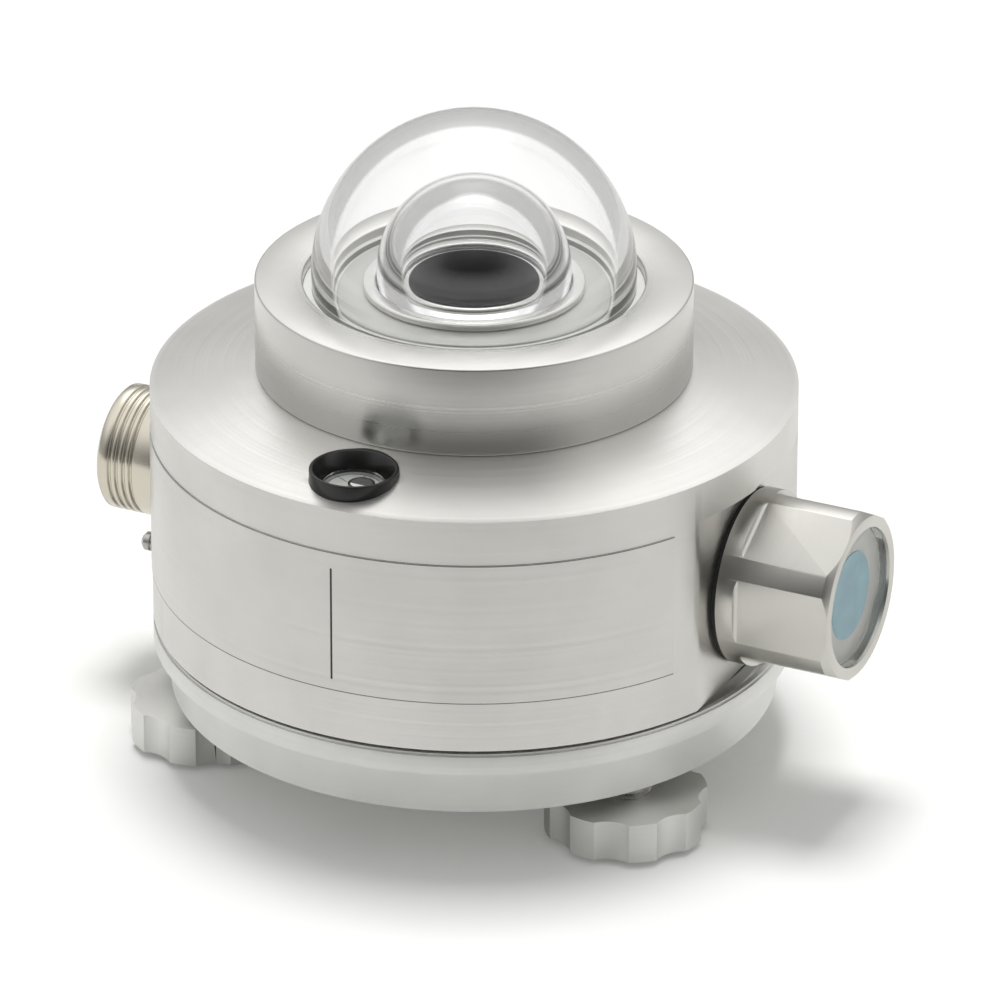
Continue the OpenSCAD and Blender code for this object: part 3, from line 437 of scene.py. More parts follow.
# Seals and screws of the casing
# Black rubber rings seal the base, the dome ring, the holder and the connector, and turned
# stainless cap screws hold the casing together from inside and below.
def moulded(name, colour, roughness, grain, depth=0.01, unevenness=0.06, metallic=0.0):
    """Moulded rubber or plastic, or a plain small part: an even colour with a fine grain whose
    size is given in mm"""
    material, shader = new_material(name)
    shader.inputs["Metallic"].default_value = metallic
    where = add_node(material, "ShaderNodeTexCoord").outputs["Object"]
    grains = add_node(material, "ShaderNodeTexNoise", {
        "Vector": where, "Scale": 1 / (2 * grain * MM), "Detail": 4})
    cloud = add_node(material, "ShaderNodeTexNoise", {
        "Vector": where, "Scale": 1 / (20 * grain * MM), "Detail": 2})
    shade = add_node(material, "ShaderNodeMapRange", {
        "Value": cloud.outputs["Fac"], "From Min": 0.3, "From Max": 0.7,
        "To Min": 1 - unevenness, "To Max": 1 + unevenness})
    scaled = add_node(material, "ShaderNodeVectorMath", {
        0: linear(colour)[:3], "Scale": shade.outputs[0]}, operation="SCALE")
    rough = add_node(material, "ShaderNodeMapRange", {
        "Value": grains.outputs["Fac"], "From Min": 0.3, "From Max": 0.7,
        "To Min": roughness * 0.92, "To Max": min(1, roughness * 1.08)})
    bump = add_node(material, "ShaderNodeBump", {
        "Height": grains.outputs["Fac"], "Strength": 1, "Distance": depth * MM})
    links = material.node_tree.links
    links.new(scaled.outputs[0], shader.inputs["Base Color"])
    links.new(rough.outputs[0], shader.inputs["Roughness"])
    links.new(bump.outputs[0], shader.inputs["Normal"])
    return material


# Soft black that takes up light, beside steel with a clean grey shine
seal_rubber = moulded("black_seal_rubber", "#1C1C1B", 0.6, 0.15)
stainless = moulded("stainless_steel_turned", "#B9B8B4", 0.28, 0.12, depth=0.002, metallic=1.0)
for node in ("base_seal", "dome_ring_seal", "holder_seal", "connector_gasket"):
    dressed(node, seal_rubber)
for node in ("base_screws", "dome_ring_screws", "deck_screws", "board_screws", "board_spacers"):
    dressed(node, stainless)


# Dome ring
# A turned aluminium ring, clear anodised. Screws through the roof hold it on the housing
# over a seal. The outer dome sits on its ledge, in a narrow open gap filled with a bond.
ring_bore_r = 26.3
ring_inner_r = 25.779
ledge_r = 21.479
ledge_top_z = 64.0
ledge_z = 60.0
seal_groove = (30.9, 32.5)
seal_groove_z = 54.2
ring_top_z = ring_high.z
dome_ring = turned("dome_ring_body", [
    (ring_inner_r, seat_z), (seal_groove[0], seat_z), (seal_groove[0], seal_groove_z),
    (seal_groove[1], seal_groove_z), (seal_groove[1], seat_z), (ring_r, seat_z),
    (ring_r, ring_top_z), (ring_bore_r, ring_top_z), (ring_bore_r, ledge_top_z),
    (ledge_r, ledge_top_z), (ledge_r, ledge_z), (ring_inner_r, ledge_z),
    (ring_inner_r, seat_z)], sides=256)
rounded(dome_ring, 0.3, segments=3)
# As the housing's, but turned finer, so that it shines a little more
ring_metal = turned_metal("ring_aluminium_clear_anodised", "#D9D8D4", 0.3, 0.25)
finished(dome_ring, ring_metal, "body", "dome_ring", slot="anodised_aluminium")


# Outer dome
# A hemisphere of polished optical glass, ground flat at its rim and bonded into the dome
# ring with clear silicone. Its edge has painted grey shade where one looks along the wall.
dome_centre_z = 68.76
outer_dome_r = 25
outer_dome_wall = 3


def polished_glass(name, tint, ior=1.47):
    """Polished glass: clear, with sharp reflections. Lamps shine through it, so that what is
    under it is lit."""
    material, shader = new_material(name)
    shader.inputs["Base Color"].default_value = linear(tint)
    shader.inputs["Roughness"].default_value = 0
    shader.inputs["IOR"].default_value = ior
    shader.inputs["Transmission Weight"].default_value = 1
    through = add_node(material, "ShaderNodeBsdfTransparent", {"Color": linear("#F6F7F6")})
    path = add_node(material, "ShaderNodeLightPath")
    lamp_ray = add_node(material, "ShaderNodeMath", {
        0: path.outputs["Is Shadow Ray"], 1: path.outputs["Is Diffuse Ray"]},
        operation="MAXIMUM")
    mix = add_node(material, "ShaderNodeMixShader", {
        0: lamp_ray.outputs[0], 1: shader.outputs[0], 2: through.outputs[0]})
    material.node_tree.links.new(
        mix.outputs[0], material.node_tree.nodes["Material Output"].inputs["Surface"])
    return material


clear_tint = "#FDFDFD"


def dome_wall_glass(name, radius, wall_t, edge_painted_shade, edge_end):
    """Dome glass with painted shade: its outer surface is painted grey where one looks along
    the wall, from the inner radius outwards to the edge end"""
    material = polished_glass(name, clear_tint)
    shader = material.node_tree.nodes["Principled BSDF"]
    facing = add_node(material, "ShaderNodeLayerWeight", {"Blend": 0.5}).outputs["Facing"]
    wall_start = 1 - sqrt(1 - (1 - wall_t / radius) ** 2)
    along_wall = add_node(material, "ShaderNodeMapRange", {
        "Value": facing, "From Min": wall_start - 0.03, "From Max": wall_start + 0.02},
        interpolation_type="SMOOTHSTEP").outputs[0]
    before_end = add_node(material, "ShaderNodeMapRange", {
        "Value": facing, "From Min": edge_end, "From Max": edge_end + 0.08,
        "To Min": 1.0, "To Max": 0.0}).outputs[0]
    where = add_node(material, "ShaderNodeTexCoord").outputs["Object"]
    reach = add_node(material, "ShaderNodeVectorMath", {
        0: where, 1: (0, 0, dome_centre_z * MM)}, operation="DISTANCE").outputs["Value"]
    outside = add_node(material, "ShaderNodeMath", {
        0: reach, 1: (radius - wall_t / 2) * MM}, operation="GREATER_THAN").outputs[0]
    painted_shade_band = add_node(material, "ShaderNodeMath", {
        0: along_wall, 1: before_end}, operation="MULTIPLY").outputs[0]
    painted_shade_band = add_node(material, "ShaderNodeMath", {
        0: painted_shade_band, 1: outside}, operation="MULTIPLY").outputs[0]
    # Painted shade: the grey band is mixed into the glass colour
    glass_colour_with_painted_shade = add_node(material, "ShaderNodeMix", {
        0: painted_shade_band, 6: linear(clear_tint), 7: linear(edge_painted_shade)}, data_type="RGBA")
    material.node_tree.links.new(glass_colour_with_painted_shade.outputs[2], shader.inputs["Base Color"])
    return material


def glass_dome(name, radius, wall_t, rim_z, sides=192):
    """A sphere cut off at the rim, with its wall grown inwards"""
    clear_selection()
    bpy.ops.mesh.primitive_uv_sphere_add(
        segments=sides, ring_count=sides // 2, radius=radius * MM,
        location=(0, 0, dome_centre_z * MM))
    piece = bpy.context.object
    piece.name = piece.data.name = name
    bpy.ops.object.mode_set(mode="EDIT")
    bpy.ops.mesh.select_all(action="SELECT")
    bpy.ops.mesh.bisect(plane_co=(0, 0, rim_z * MM), plane_no=(0, 0, 1), clear_inner=True)
    bpy.ops.object.mode_set(mode="OBJECT")
    settle(piece)
    apply_modifier(piece, "SOLIDIFY", thickness=wall_t * MM, offset=-1)
    return piece


# Clear in the middle, with a band of painted grey shade where the wall is seen edge on
outer_glass = dome_wall_glass("polished_outer_dome_glass", outer_dome_r, outer_dome_wall,
                              "#A2A2A0", 1.0)
outer_dome = glass_dome("outer_dome_glass", outer_dome_r, outer_dome_wall, ledge_top_z + 0.1)
finished(outer_dome, outer_glass, "body", "outer_dome", slot="dome_glass", angle=60)
# A milky white line of silicone at the foot of each dome
clear_bond = moulded("clear_silicone_bond", "#E4E4E1", 0.35, 0.3)
dressed("outer_dome_bond", clear_bond)
dressed("inner_dome_bond", clear_bond)


# Sensor deck and inner dome ring
# The deck is a white-coated disc screwed under the dome ring's ledge. A bright turned ring
# on it holds the inner dome.
deck_low, deck_high = (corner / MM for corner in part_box("sensor_deck"))
deck_hole_r = 8.95
deck_flange_r = deck_high.x
deck_r = 21.379
deck_top_z = deck_high.z
deck = turned("sensor_deck_plate", [
    (deck_hole_r, deck_low.z), (deck_flange_r, deck_low.z), (deck_flange_r, ledge_z),
    (deck_r, ledge_z), (deck_r, deck_top_z), (deck_hole_r, deck_top_z),
    (deck_hole_r, deck_low.z)])
rounded(deck, 0.3, segments=3)
# Even and pale, with almost no shine of its own lines
deck_metal = turned_metal("white_anodised_deck", "#D2D2CE", 0.42, 0.3, depth=0.003)
finished(deck, deck_metal, "body", "sensor_deck", slot="white_deck")
bead_z = deck_top_z - 0.35
bead = turned("dome_bond_bead", [
    (deck_r + 0.03, ledge_top_z + 0.1), (outer_dome_r - outer_dome_wall - 0.02, ledge_top_z + 0.1),
    (outer_dome_r - outer_dome_wall - 0.02, bead_z), (deck_r + 0.03, bead_z),
    (deck_r + 0.03, ledge_top_z + 0.1)])
finished(bead, clear_bond, "body", slot="clear_bond")

inner_ring_low, inner_ring_high = (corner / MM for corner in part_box("inner_dome_ring"))
inner_ring_r = inner_ring_high.x
inner_ring_bore_r = 15.1
inner_ring = turned("inner_dome_ring_bright", [
    (inner_ring_bore_r, inner_ring_low.z), (inner_ring_r, inner_ring_low.z),
    (inner_ring_r, inner_ring_high.z), (inner_ring_bore_r, inner_ring_high.z),
    (inner_ring_bore_r, inner_ring_low.z)])
rounded(inner_ring, 0.35, segments=4)
# The brightest metal of all: a thin gleaming ring round the sensor
bright_metal = turned_metal("bright_turned_aluminium", "#E2E2DF", 0.2, 0.2, depth=0.003)
finished(inner_ring, bright_metal, "body", "inner_dome_ring", slot="bright_ring")


# Inner dome
# A smaller hemisphere of the same glass over the sensor. Air between the two domes keeps
# the sensor's temperature even.
inner_dome_r = 15
inner_dome_wall = 3.8
inner_dome = glass_dome("inner_dome_glass", inner_dome_r, inner_dome_wall, deck_top_z + 0.2)
# A darker band of painted grey shade than the outer dome's, as its wall is thicker; the painted
# shade stops short of the outer edge, which stays bright
inner_glass = dome_wall_glass("polished_inner_dome_glass", inner_dome_r, inner_dome_wall,
                              "#8E8E8C", 0.62)
finished(inner_dome, inner_glass, "body", "inner_dome", slot="dome_glass", angle=60)


# Sensor
# A white-coated pedestal stands in the deck and holds the thermopile. A thin metal disc with
# a matt black coating lies on that and takes up the sunlight. A thermistor and the sensor's
# wires hang below.
pedestal_low, pedestal_high = (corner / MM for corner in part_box("sensor_pedestal"))
pedestal_r = pedestal_high.x
pedestal_stem_r = 8.9
absorber_low, absorber_high = (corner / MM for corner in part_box("absorber"))
absorber_r = absorber_high.x
recess_r = 8.2
recess_h = 0.85
pedestal = turned("sensor_pedestal_head", [
    (0, pedestal_low.z), (pedestal_stem_r, pedestal_low.z), (pedestal_stem_r, deck_top_z),
    (pedestal_r, deck_top_z), (pedestal_r, pedestal_high.z), (recess_r, pedestal_high.z),
    (recess_r, pedestal_high.z - recess_h), (0, pedestal_high.z - recess_h)])
rounded(pedestal, 0.2, segments=3)
finished(pedestal, bright_metal, "body", "sensor_pedestal", slot="white_deck")

absorber_flat_r = absorber_r - 0.6
absorber = turned("absorber_disc", [
    (0, absorber_low.z), (absorber_r, absorber_low.z), (absorber_r, absorber_high.z - 0.12),
    (absorber_flat_r, absorber_high.z), (0, absorber_high.z)])
rounded(absorber, 0.05)
# Carbon black paint: deep and matt, with no highlight even under the glass
absorber_black = moulded("matt_black_absorber_coating", "#0D0D0D", 0.7, 0.25, depth=0.02,
                         unevenness=0.35)
absorber_black.node_tree.nodes["Principled BSDF"].inputs["Specular IOR Level"].default_value = 0.08
finished(absorber, absorber_black, "body", "absorber", slot="absorber_black")
dressed("thermopile", moulded("thermopile_brass", "#B08D4F", 0.4, 0.2, metallic=1.0))
dressed("thermistor", moulded("dipped_resin", "#5C3416", 0.25, 0.3))
dressed("sensor_wires", moulded("red_wire_sleeve", "#A81E1E", 0.35, 0.2))


# Bubble level
# A gloss black moulded cup pressed into the shoulder. Its funnel leads down to a round vial
# with clear liquid, a bubble and a lens with a marked circle and hair lines.
cup_low, cup_high = (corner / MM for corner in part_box("level_cup"))
cup_r = 6.8
cup_rim_t = 0.5
cup_floor_z = cup_low.z
vial_r = 4.9
vial_z = 45.0
lens_low, lens_high = (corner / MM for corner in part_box("level_lens"))
cup = turned("level_cup_black", [
    (0, cup_floor_z), (cup_r, cup_floor_z), (cup_r, cup_high.z),
    (cup_r - cup_rim_t, cup_high.z), (vial_r, lens_high.z), (vial_r, vial_z), (0, vial_z)],
    sides=128)
rounded(cup, 0.2, segments=3)
settle(cup, (0, level_y, 0))
# Injection moulded and polished: black, with soft lights along its rim and funnel
gloss_black = moulded("gloss_black_moulded_plastic", "#222221", 0.22, 0.6, depth=0.002)
finished(cup, gloss_black, "body", "level_cup", slot="black_plastic")

# The disc under the lens is silvered. Four hair lines run from the marked circle to its edge,
# and the bubble's painted dark outline rests in the circle.
disc_r = 4.15
bubble_r = 1.95
painted_highlight_y = -0.55
bubble_shift = (0.6, 1.3)
hair_angles = (92, 152)
marked_circle_r = 2.3
hair_w = 0.14
level_centre = (0, level_y, 0)
level_disc = turned("level_liquid_disc", [
    (0, vial_z + 0.75), (disc_r - 0.05, vial_z + 0.75), (disc_r, vial_z + 1),
    (disc_r, lens_low.z - 0.15), (disc_r - 0.15, lens_low.z - 0.05), (0, lens_low.z - 0.05)],
    sides=96)
settle(level_disc, level_centre)
# Pale silver under clear liquid, which the thin dark lines stand out on
level_silver, shader = new_material("silvered_level_liquid")
where = add_node(level_silver, "ShaderNodeTexCoord").outputs["Object"]
centred = add_node(level_silver, "ShaderNodeMapping", {
    "Vector": where, "Location": (0, -level_y * MM, 0)}).outputs[0]
parts = add_node(level_silver, "ShaderNodeSeparateXYZ", {"Vector": centred})
flat = add_node(level_silver, "ShaderNodeCombineXYZ", {
    "X": parts.outputs["X"], "Y": parts.outputs["Y"]})
from_bubble = add_node(level_silver, "ShaderNodeVectorMath", {
    0: flat.outputs[0], 1: (bubble_shift[0] * MM, bubble_shift[1] * MM, 0)}, operation="DISTANCE")
past_circle = add_node(level_silver, "ShaderNodeMath", {
    0: from_bubble.outputs["Value"], 1: marked_circle_r * MM}, operation="GREATER_THAN").outputs[0]
hairs = 0
for angle in hair_angles:
    beside = add_node(level_silver, "ShaderNodeVectorMath", {
        0: flat.outputs[0], 1: (-sin(radians(angle)), cos(radians(angle)), 0)},
        operation="DOT_PRODUCT").outputs["Value"]
    hair = strip_mask(level_silver, beside, 0, hair_w / 2 * MM)
    hairs = add_node(level_silver, "ShaderNodeMath", {
        0: hairs, 1: hair}, operation="MAXIMUM").outputs[0]
marks = add_node(level_silver, "ShaderNodeMath", {
    0: hairs, 1: past_circle}, operation="MULTIPLY").outputs[0]
marked = add_node(level_silver, "ShaderNodeMix", {
    0: marks, 6: linear("#CCCDCA"), 7: linear("#1C1C1B")}, data_type="RGBA")
level_silver.node_tree.links.new(marked.outputs[2], shader.inputs["Base Color"])
shader.inputs["Roughness"].default_value = 0.3
finished(level_disc, level_silver, "body", "level_liquid", slot="level_liquid")

# The bubble is a clear pocket in the liquid. Its dark edge is painted shade, and the bright
# crescent on its front side is a painted highlight.
bubble = turned("level_bubble", [
    (0, lens_low.z - 0.03), (bubble_r, lens_low.z - 0.03), (bubble_r + 0.12, lens_low.z + 0.04),
    (bubble_r, lens_low.z + 0.11), (bubble_r - 0.25, lens_low.z + 0.03), (0, lens_low.z + 0.01)],
    sides=96)
settle(bubble, (bubble_shift[0], level_y + bubble_shift[1], 0))
# Painted shade and highlight: a dark ring with a grey middle, and a white crescent
bubble_look, shader = new_material("bubble_painted_shade_and_highlight")
where = add_node(bubble_look, "ShaderNodeTexCoord").outputs["Object"]
from_middle = add_node(bubble_look, "ShaderNodeVectorMath", {
    0: where, 1: (bubble_shift[0] * MM, (level_y + bubble_shift[1]) * MM, lens_low.z * MM)},
    operation="SUBTRACT").outputs[0]
inside = add_node(bubble_look, "ShaderNodeVectorMath", {0: from_middle}, operation="LENGTH")
inside = add_node(bubble_look, "ShaderNodeMath", {
    0: inside.outputs["Value"], 1: (bubble_r - 0.3) * MM}, operation="LESS_THAN").outputs[0]
depth_in = add_node(bubble_look, "ShaderNodeSeparateXYZ", {"Vector": from_middle}).outputs["Y"]
# The front part of the bubble that gets the painted highlight
at_front = add_node(bubble_look, "ShaderNodeMath", {
    0: depth_in, 1: painted_highlight_y * MM}, operation="LESS_THAN").outputs[0]
painted_highlight_crescent = add_node(bubble_look, "ShaderNodeMath", {
    0: inside, 1: at_front}, operation="MULTIPLY").outputs[0]
# Painted shade: dark at the bubble's edge, grey in its middle
painted_shade_ring = add_node(bubble_look, "ShaderNodeMix", {
    0: inside, 6: linear("#1E1E1D"), 7: linear("#565654")}, data_type="RGBA")
# Painted highlight: pure white over the front of the bubble
lit = add_node(bubble_look, "ShaderNodeMix", {
    0: painted_highlight_crescent, 6: painted_shade_ring.outputs[2], 7: linear("#FFFFFF")}, data_type="RGBA")
bubble_look.node_tree.links.new(lit.outputs[2], shader.inputs["Base Color"])
shader.inputs["Roughness"].default_value = 0.15
finished(bubble, bubble_look, "body", slot="level_liquid")
level_lens = turned("level_lens_clear", [
    (0, lens_low.z + 0.25), (vial_r - 0.1, lens_low.z + 0.25), (vial_r - 0.1, lens_high.z - 0.2),
    (vial_r - 0.3, lens_high.z), (0, lens_high.z)], sides=96)
settle(level_lens, level_centre)
# Clear and wet to the eye. Acrylic's own IOR is 1.49; the liquid under the lens takes its
# inner reflection away, which the lower value stands for.
clear_acrylic = polished_glass("clear_acrylic", clear_tint, ior=1.2)
finished(level_lens, clear_acrylic, "body", "level_lens", slot="level_acrylic")
dressed("level_vial", moulded("level_vial_acrylic", "#8D8F8C", 0.2, 0.5))


# Terminal board
# A ring of circuit board on four spacers in the base's pocket, with two terminal blocks for
# the sensor's wires and the connector's wires.
# Green lacquer with a soft shine, and plain coloured plastic
dressed("terminal_board", moulded("green_solder_resist", "#2C6B45", 0.35, 0.3))
dressed("terminal_blocks", moulded("green_terminal_plastic", "#3F8A4B", 0.45, 0.25))
dressed("connector_wires", moulded("blue_wire_sleeve", "#2347A8", 0.35, 0.2))


# Connector
# A round nickel-plated brass connector screwed through the left flat: a plain rim, a short
# coarse thread for the plug's nut, a smooth barrel, and a black insert with ten gilt pins.
shell_low, shell_high = (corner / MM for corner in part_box("connector_shell"))
shell_end = -shell_low.x
shell_tail = -shell_high.x
shell_foot = flat_x + 0.4
shell_r = 10.0
shell_rim_l = 2.3
socket_r = 8.4
stem_r = 8.0
stem_in_r = 6.5
insert_step = 48.4
thread_pitch = 1.25
thread_h = 0.42
thread_turns = 3
groove_half_w = 0.33
groove_side_r = shell_r - 0.7 * thread_h
mouth_chamfer = 0.35
rim_chamfer = 0.45
outline = [(socket_r, insert_step), (socket_r, shell_end - mouth_chamfer),
           (socket_r + mouth_chamfer, shell_end), (shell_r - rim_chamfer, shell_end),
           (shell_r, shell_end - rim_chamfer)]
for i in range(thread_turns + 1):
    groove = shell_end - shell_rim_l - i * thread_pitch
    outline += [(shell_r, groove + groove_half_w), (groove_side_r, groove + 0.16),
                (shell_r - thread_h, groove), (groove_side_r, groove - 0.16),
                (shell_r, groove - groove_half_w)]
outline += [(shell_r, shell_foot), (stem_r, shell_foot), (stem_r, shell_tail),
            (stem_in_r, shell_tail), (stem_in_r, insert_step), (socket_r, insert_step)]
shell = turned("connector_barrel", outline, sides=160)
rounded(shell, 0.12, angle=50)
settle(shell, (0, 0, connector_z), minus_x_turn)
# Nickel is warmer than aluminium, and its thread catches bright and dark lines
nickel = turned_metal("satin_nickel_plate", "#D6D0C2", 0.24, 0.15, (0, 0, connector_z),
                      minus_x_turn, depth=0.003)
finished(shell, nickel, "body", "connector_shell", slot="nickel_plate", angle=50)
dressed("connector_nut", nickel)
dressed("connector_insert", moulded("black_insert_plastic", "#232322", 0.4, 0.25))
dressed("connector_pins", moulded("gold_plate", "#D9B45B", 0.2, 0.2, depth=0.001, metallic=1.0))


# Screen stud
# A short stainless stud in the left flat, below the connector, for the fixing of a sun
# screen.
stud_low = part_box("screen_stud")[0] / MM
stud_r = 1.5
stud_root_r = 2
stud_root_x = flat_x - 3.6
stud_outline = [(0, stud_root_x), (stud_root_r, stud_root_x), (stud_root_r, flat_x),
                (stud_r, flat_x)]
stud_end = -stud_low.x
stud_turns = 7
stud_pitch = 0.5
for i in range(stud_turns):
    z = flat_x + (i + 1) * stud_pitch
    stud_outline += [(stud_r, z - 0.12), (stud_r - 0.2, z + 0.06), (stud_r, z + 0.24)]
stud_outline += [(stud_r, stud_end - 0.5), (stud_r * 2 / 3, stud_end), (0, stud_end)]
stud = turned("screen_stud_threaded", stud_outline, sides=small_sides)
settle(stud, (0, stud_y, stud_z), minus_x_turn)
finished(stud, stainless, "body", "screen_stud", slot="stainless_steel")


# Desiccant holder
# A hollow plug turned and milled from aluminium, clear anodised. Its threaded stem screws
# into the right flat over a seal and holds two bags of silica gel. Six wrench flats run from
# the flange to its end, each with the rounded start that the milling cutter left.
holder_low, holder_high = (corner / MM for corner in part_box("desiccant_holder"))
holder_end = holder_high.x
holder_foot = 47.36
holder_r = holder_high.y
holder_stem_r = 10.0
holder_bore_r_in = 8.2
holder_chamfer = 1.0
flat_half = 12.7
flats_start = holder_foot + 2.8
cutter_r = 0.65
card_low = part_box("indicator_card")[0] / MM
window_seat = card_low.x
window_r = 11.0
holder = turned("desiccant_holder_body", [
    (holder_bore_r_in, holder_low.x), (holder_stem_r, holder_low.x),
    (holder_stem_r, holder_foot), (holder_r, holder_foot),
    (holder_r, holder_end - holder_chamfer), (holder_r - holder_chamfer, holder_end),
    (window_r, holder_end), (window_r, window_seat), (holder_bore_r_in, window_seat),
    (holder_bore_r_in, holder_low.x)])
settle(holder, (0, 0, 0), x_axis_turn)


def flat_cutter(turn):
    """A block with one long edge rounded as the milling cutter rounds it, over one flat"""
    cutter = block((flats_start, -holder_r, flat_half), (holder_end + 5, holder_r, 2 * holder_r))
    bpy.ops.object.mode_set(mode="EDIT")
    bpy.ops.mesh.select_all(action="DESELECT")
    bpy.ops.object.mode_set(mode="OBJECT")
    for edge in cutter.data.edges:
        ends = [cutter.data.vertices[v].co / MM for v in edge.vertices]
        edge.select = all(abs(e.x - flats_start) < 0.01 and abs(e.z - flat_half) < 0.01
                          for e in ends)
    bpy.ops.object.mode_set(mode="EDIT")
    bpy.ops.mesh.select_mode(type="EDGE")
    bpy.ops.mesh.bevel(offset=cutter_r * MM, segments=8)
    bpy.ops.mesh.select_mode(type="VERT")
    bpy.ops.object.mode_set(mode="OBJECT")
    return settle(cutter, (0, 0, 0), (turn, 0, 0))


bored(holder, [flat_cutter(30 + 60 * i) for i in range(6)])
settle(holder, (0, 0, holder_z))
rounded(holder, 0.16)
# Satin, each flat with a tone of its own, as it faces another part of the room
holder_metal = turned_metal("holder_aluminium_clear_anodised", "#CFCDC7", 0.33, 0.25,
                            (0, 0, holder_z), x_axis_turn)
finished(holder, holder_metal, "holder", "desiccant_holder", slot="anodised_aluminium")

# The window is a disc of clear acrylic. Behind it lies the white card with the pale blue
# humidity indicator, both matt paper. The IOR is kept low, so that the window shows them
# plainly from the side.
window_clear = polished_glass("clear_window_acrylic", clear_tint, ior=1.1)
dressed("indicator_window", window_clear)
dressed("humidity_indicator", moulded("pale_blue_indicator_paper", "#B4D6E3", 0.8, 0.3,
                                      unevenness=0.08))
dressed("indicator_card", moulded("grey_white_card", "#DCDCD8", 0.8, 0.3))
dressed("desiccant_bags", moulded("white_bag_paper", "#E4E1D8", 0.9, 0.6, depth=0.05))
dressed("bag_screen", stainless)


# Feet
# Two levelling feet and a fixed one. Each levelling foot is a stainless screw in the base
# with a scalloped aluminium knob and a rubber pad that stands still on the ground.
knob_low, knob_high = (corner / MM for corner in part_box("foot_knob_right"))
knob_r = 12.5
knob_top_z = knob_high.z
knob_foot_z = knob_low.z
scallops = 8
scallop_r = 5.0
scallop_h = 1.1
foot_screw_r = 4.0
screw_pitch = 1.25
screw_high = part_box("foot_screw_right")[1] / MM
ground_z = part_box("foot_pad_right")[0].z / MM
pad_r = 6.0
spigot_r = 2.0
spigot_top_z = knob_foot_z + 3
foot_play = 0.05
knob_bore_r = foot_screw_r + foot_play
scallop_cut_h = 10
knob = turned("foot_knob_model", [
    (knob_bore_r, knob_foot_z), (knob_r, knob_foot_z), (knob_r, knob_top_z),
    (knob_bore_r, knob_top_z), (knob_bore_r, knob_foot_z)], sides=128)
bored(knob, [
    drill(scallop_r, around(360 / scallops * i, knob_r + scallop_r - scallop_h,
                            knob_foot_z - overrun), scallop_cut_h) for i in range(scallops)])
rounded(knob, 0.45, segments=3)
socket_top_z = spigot_top_z + 2 * foot_play
screw_outline = [(0, socket_top_z), (spigot_r + foot_play, socket_top_z),
                 (spigot_r + foot_play, knob_foot_z), (foot_screw_r, knob_foot_z)]
screw_turns = int((screw_high.z - knob_top_z) / screw_pitch)
for i in range(screw_turns):
    z = knob_top_z + (i + 0.5) * screw_pitch
    screw_outline += [(foot_screw_r, z - 0.42), (foot_screw_r - 0.5, z), (foot_screw_r, z + 0.42)]
screw_outline += [(foot_screw_r, screw_high.z - 0.4), (foot_screw_r - 0.4, screw_high.z),
                  (0, screw_high.z)]
foot_screw = turned("foot_screw_model", screw_outline, sides=small_sides)
pad = turned("foot_pad_model", [
    (0, ground_z), (pad_r - 0.5, ground_z), (pad_r, ground_z + 0.25),
    (pad_r, knob_foot_z - foot_play), (spigot_r, knob_foot_z - foot_play),
    (spigot_r, spigot_top_z),
    (0, spigot_top_z)], sides=small_sides)
# Dull dark grey, against the pale satin knobs
pad_rubber = moulded("dark_grey_foot_rubber", "#3E3E3C", 0.65, 0.2)


def copied(model, name, angle):
    """A copy of a foot's piece with its own mesh, at the foot's place"""
    piece = model.copy()
    piece.data = model.data.copy()
    bpy.context.collection.objects.link(piece)
    piece.name = piece.data.name = name
    return settle(piece, around(angle, foot_circle_r), (0, 0, angle))


for side, angle in (("right", -30), ("left", -150)):
    place = around(angle, foot_circle_r)
    knob_metal = turned_metal("turned_knob_aluminium_" + side, "#E8E8E5", 0.5, 0.3, place)
    finished(copied(knob, "knob_" + side, angle), knob_metal,
             "knob_" + side, "foot_knob_" + side, slot="turned_aluminium")
    finished(copied(foot_screw, "levelling_screw_" + side, angle), stainless,
             "knob_" + side, "foot_screw_" + side, slot="stainless_steel")
    finished(copied(pad, "ground_pad_" + side, angle), pad_rubber,
             "pad_" + side, "foot_pad_" + side, slot="foot_rubber")
for model in (knob, foot_screw, pad):
    bpy.data.objects.remove(model)

fixed_r = 6.5
fixed_chamfer = 0.7
fixed_top_z = 7.6
fixed_foot = turned("fixed_foot_turned", [
    (0, ground_z), (fixed_r - fixed_chamfer, ground_z), (fixed_r, ground_z + fixed_chamfer),
    (fixed_r, 0), (foot_screw_r, 0), (foot_screw_r, fixed_top_z), (0, fixed_top_z)], sides=96)
rounded(fixed_foot, 0.2)
fixed_place = around(90, foot_circle_r)
settle(fixed_foot, fixed_place)
finished(fixed_foot, turned_metal("fixed_foot_aluminium", "#DADAD6", 0.38, 0.3, fixed_place),
         "body", "fixed_foot", slot="turned_aluminium")


# Studio
# A sheet of white paper under a large soft box. It ends a short way from the object, so that
# the upright metal shows the dark room past the paper's front edge.
view_turn = 26.0
view_rise = 25.587
view_distance = 1.36994
focal_pixels = 8863.1
centre_u, centre_v = 474.14, 439.17
picture_side = 1000
aim = Vector((0, 0, 0.040))
front_rise = 15
front_way = (sin(radians(view_turn)) * cos(radians(front_rise)),
             -cos(radians(view_turn)) * cos(radians(front_rise)), sin(radians(front_rise)))

paper_w = 1.3
paper_l = 0.85
paper_middle = 0.1
paper_glow = 0.1
ambient_strength = 0.42
clear_selection()
bpy.ops.mesh.primitive_plane_add(size=1, location=(
    -front_way[0] * paper_middle, -front_way[1] * paper_middle, ground_z * MM))
floor = bpy.context.object
floor.name = "floor"
floor.scale = (paper_w, paper_l, 1)
floor.rotation_euler.z = radians(view_turn)
floor_paint, shader = new_material("pale_floor_paint")
shader.inputs["Base Color"].default_value = linear("#F6F6F4")
shader.inputs["Roughness"].default_value = 0.9
shader.inputs["Emission Color"].default_value = (1, 1, 1, 1)


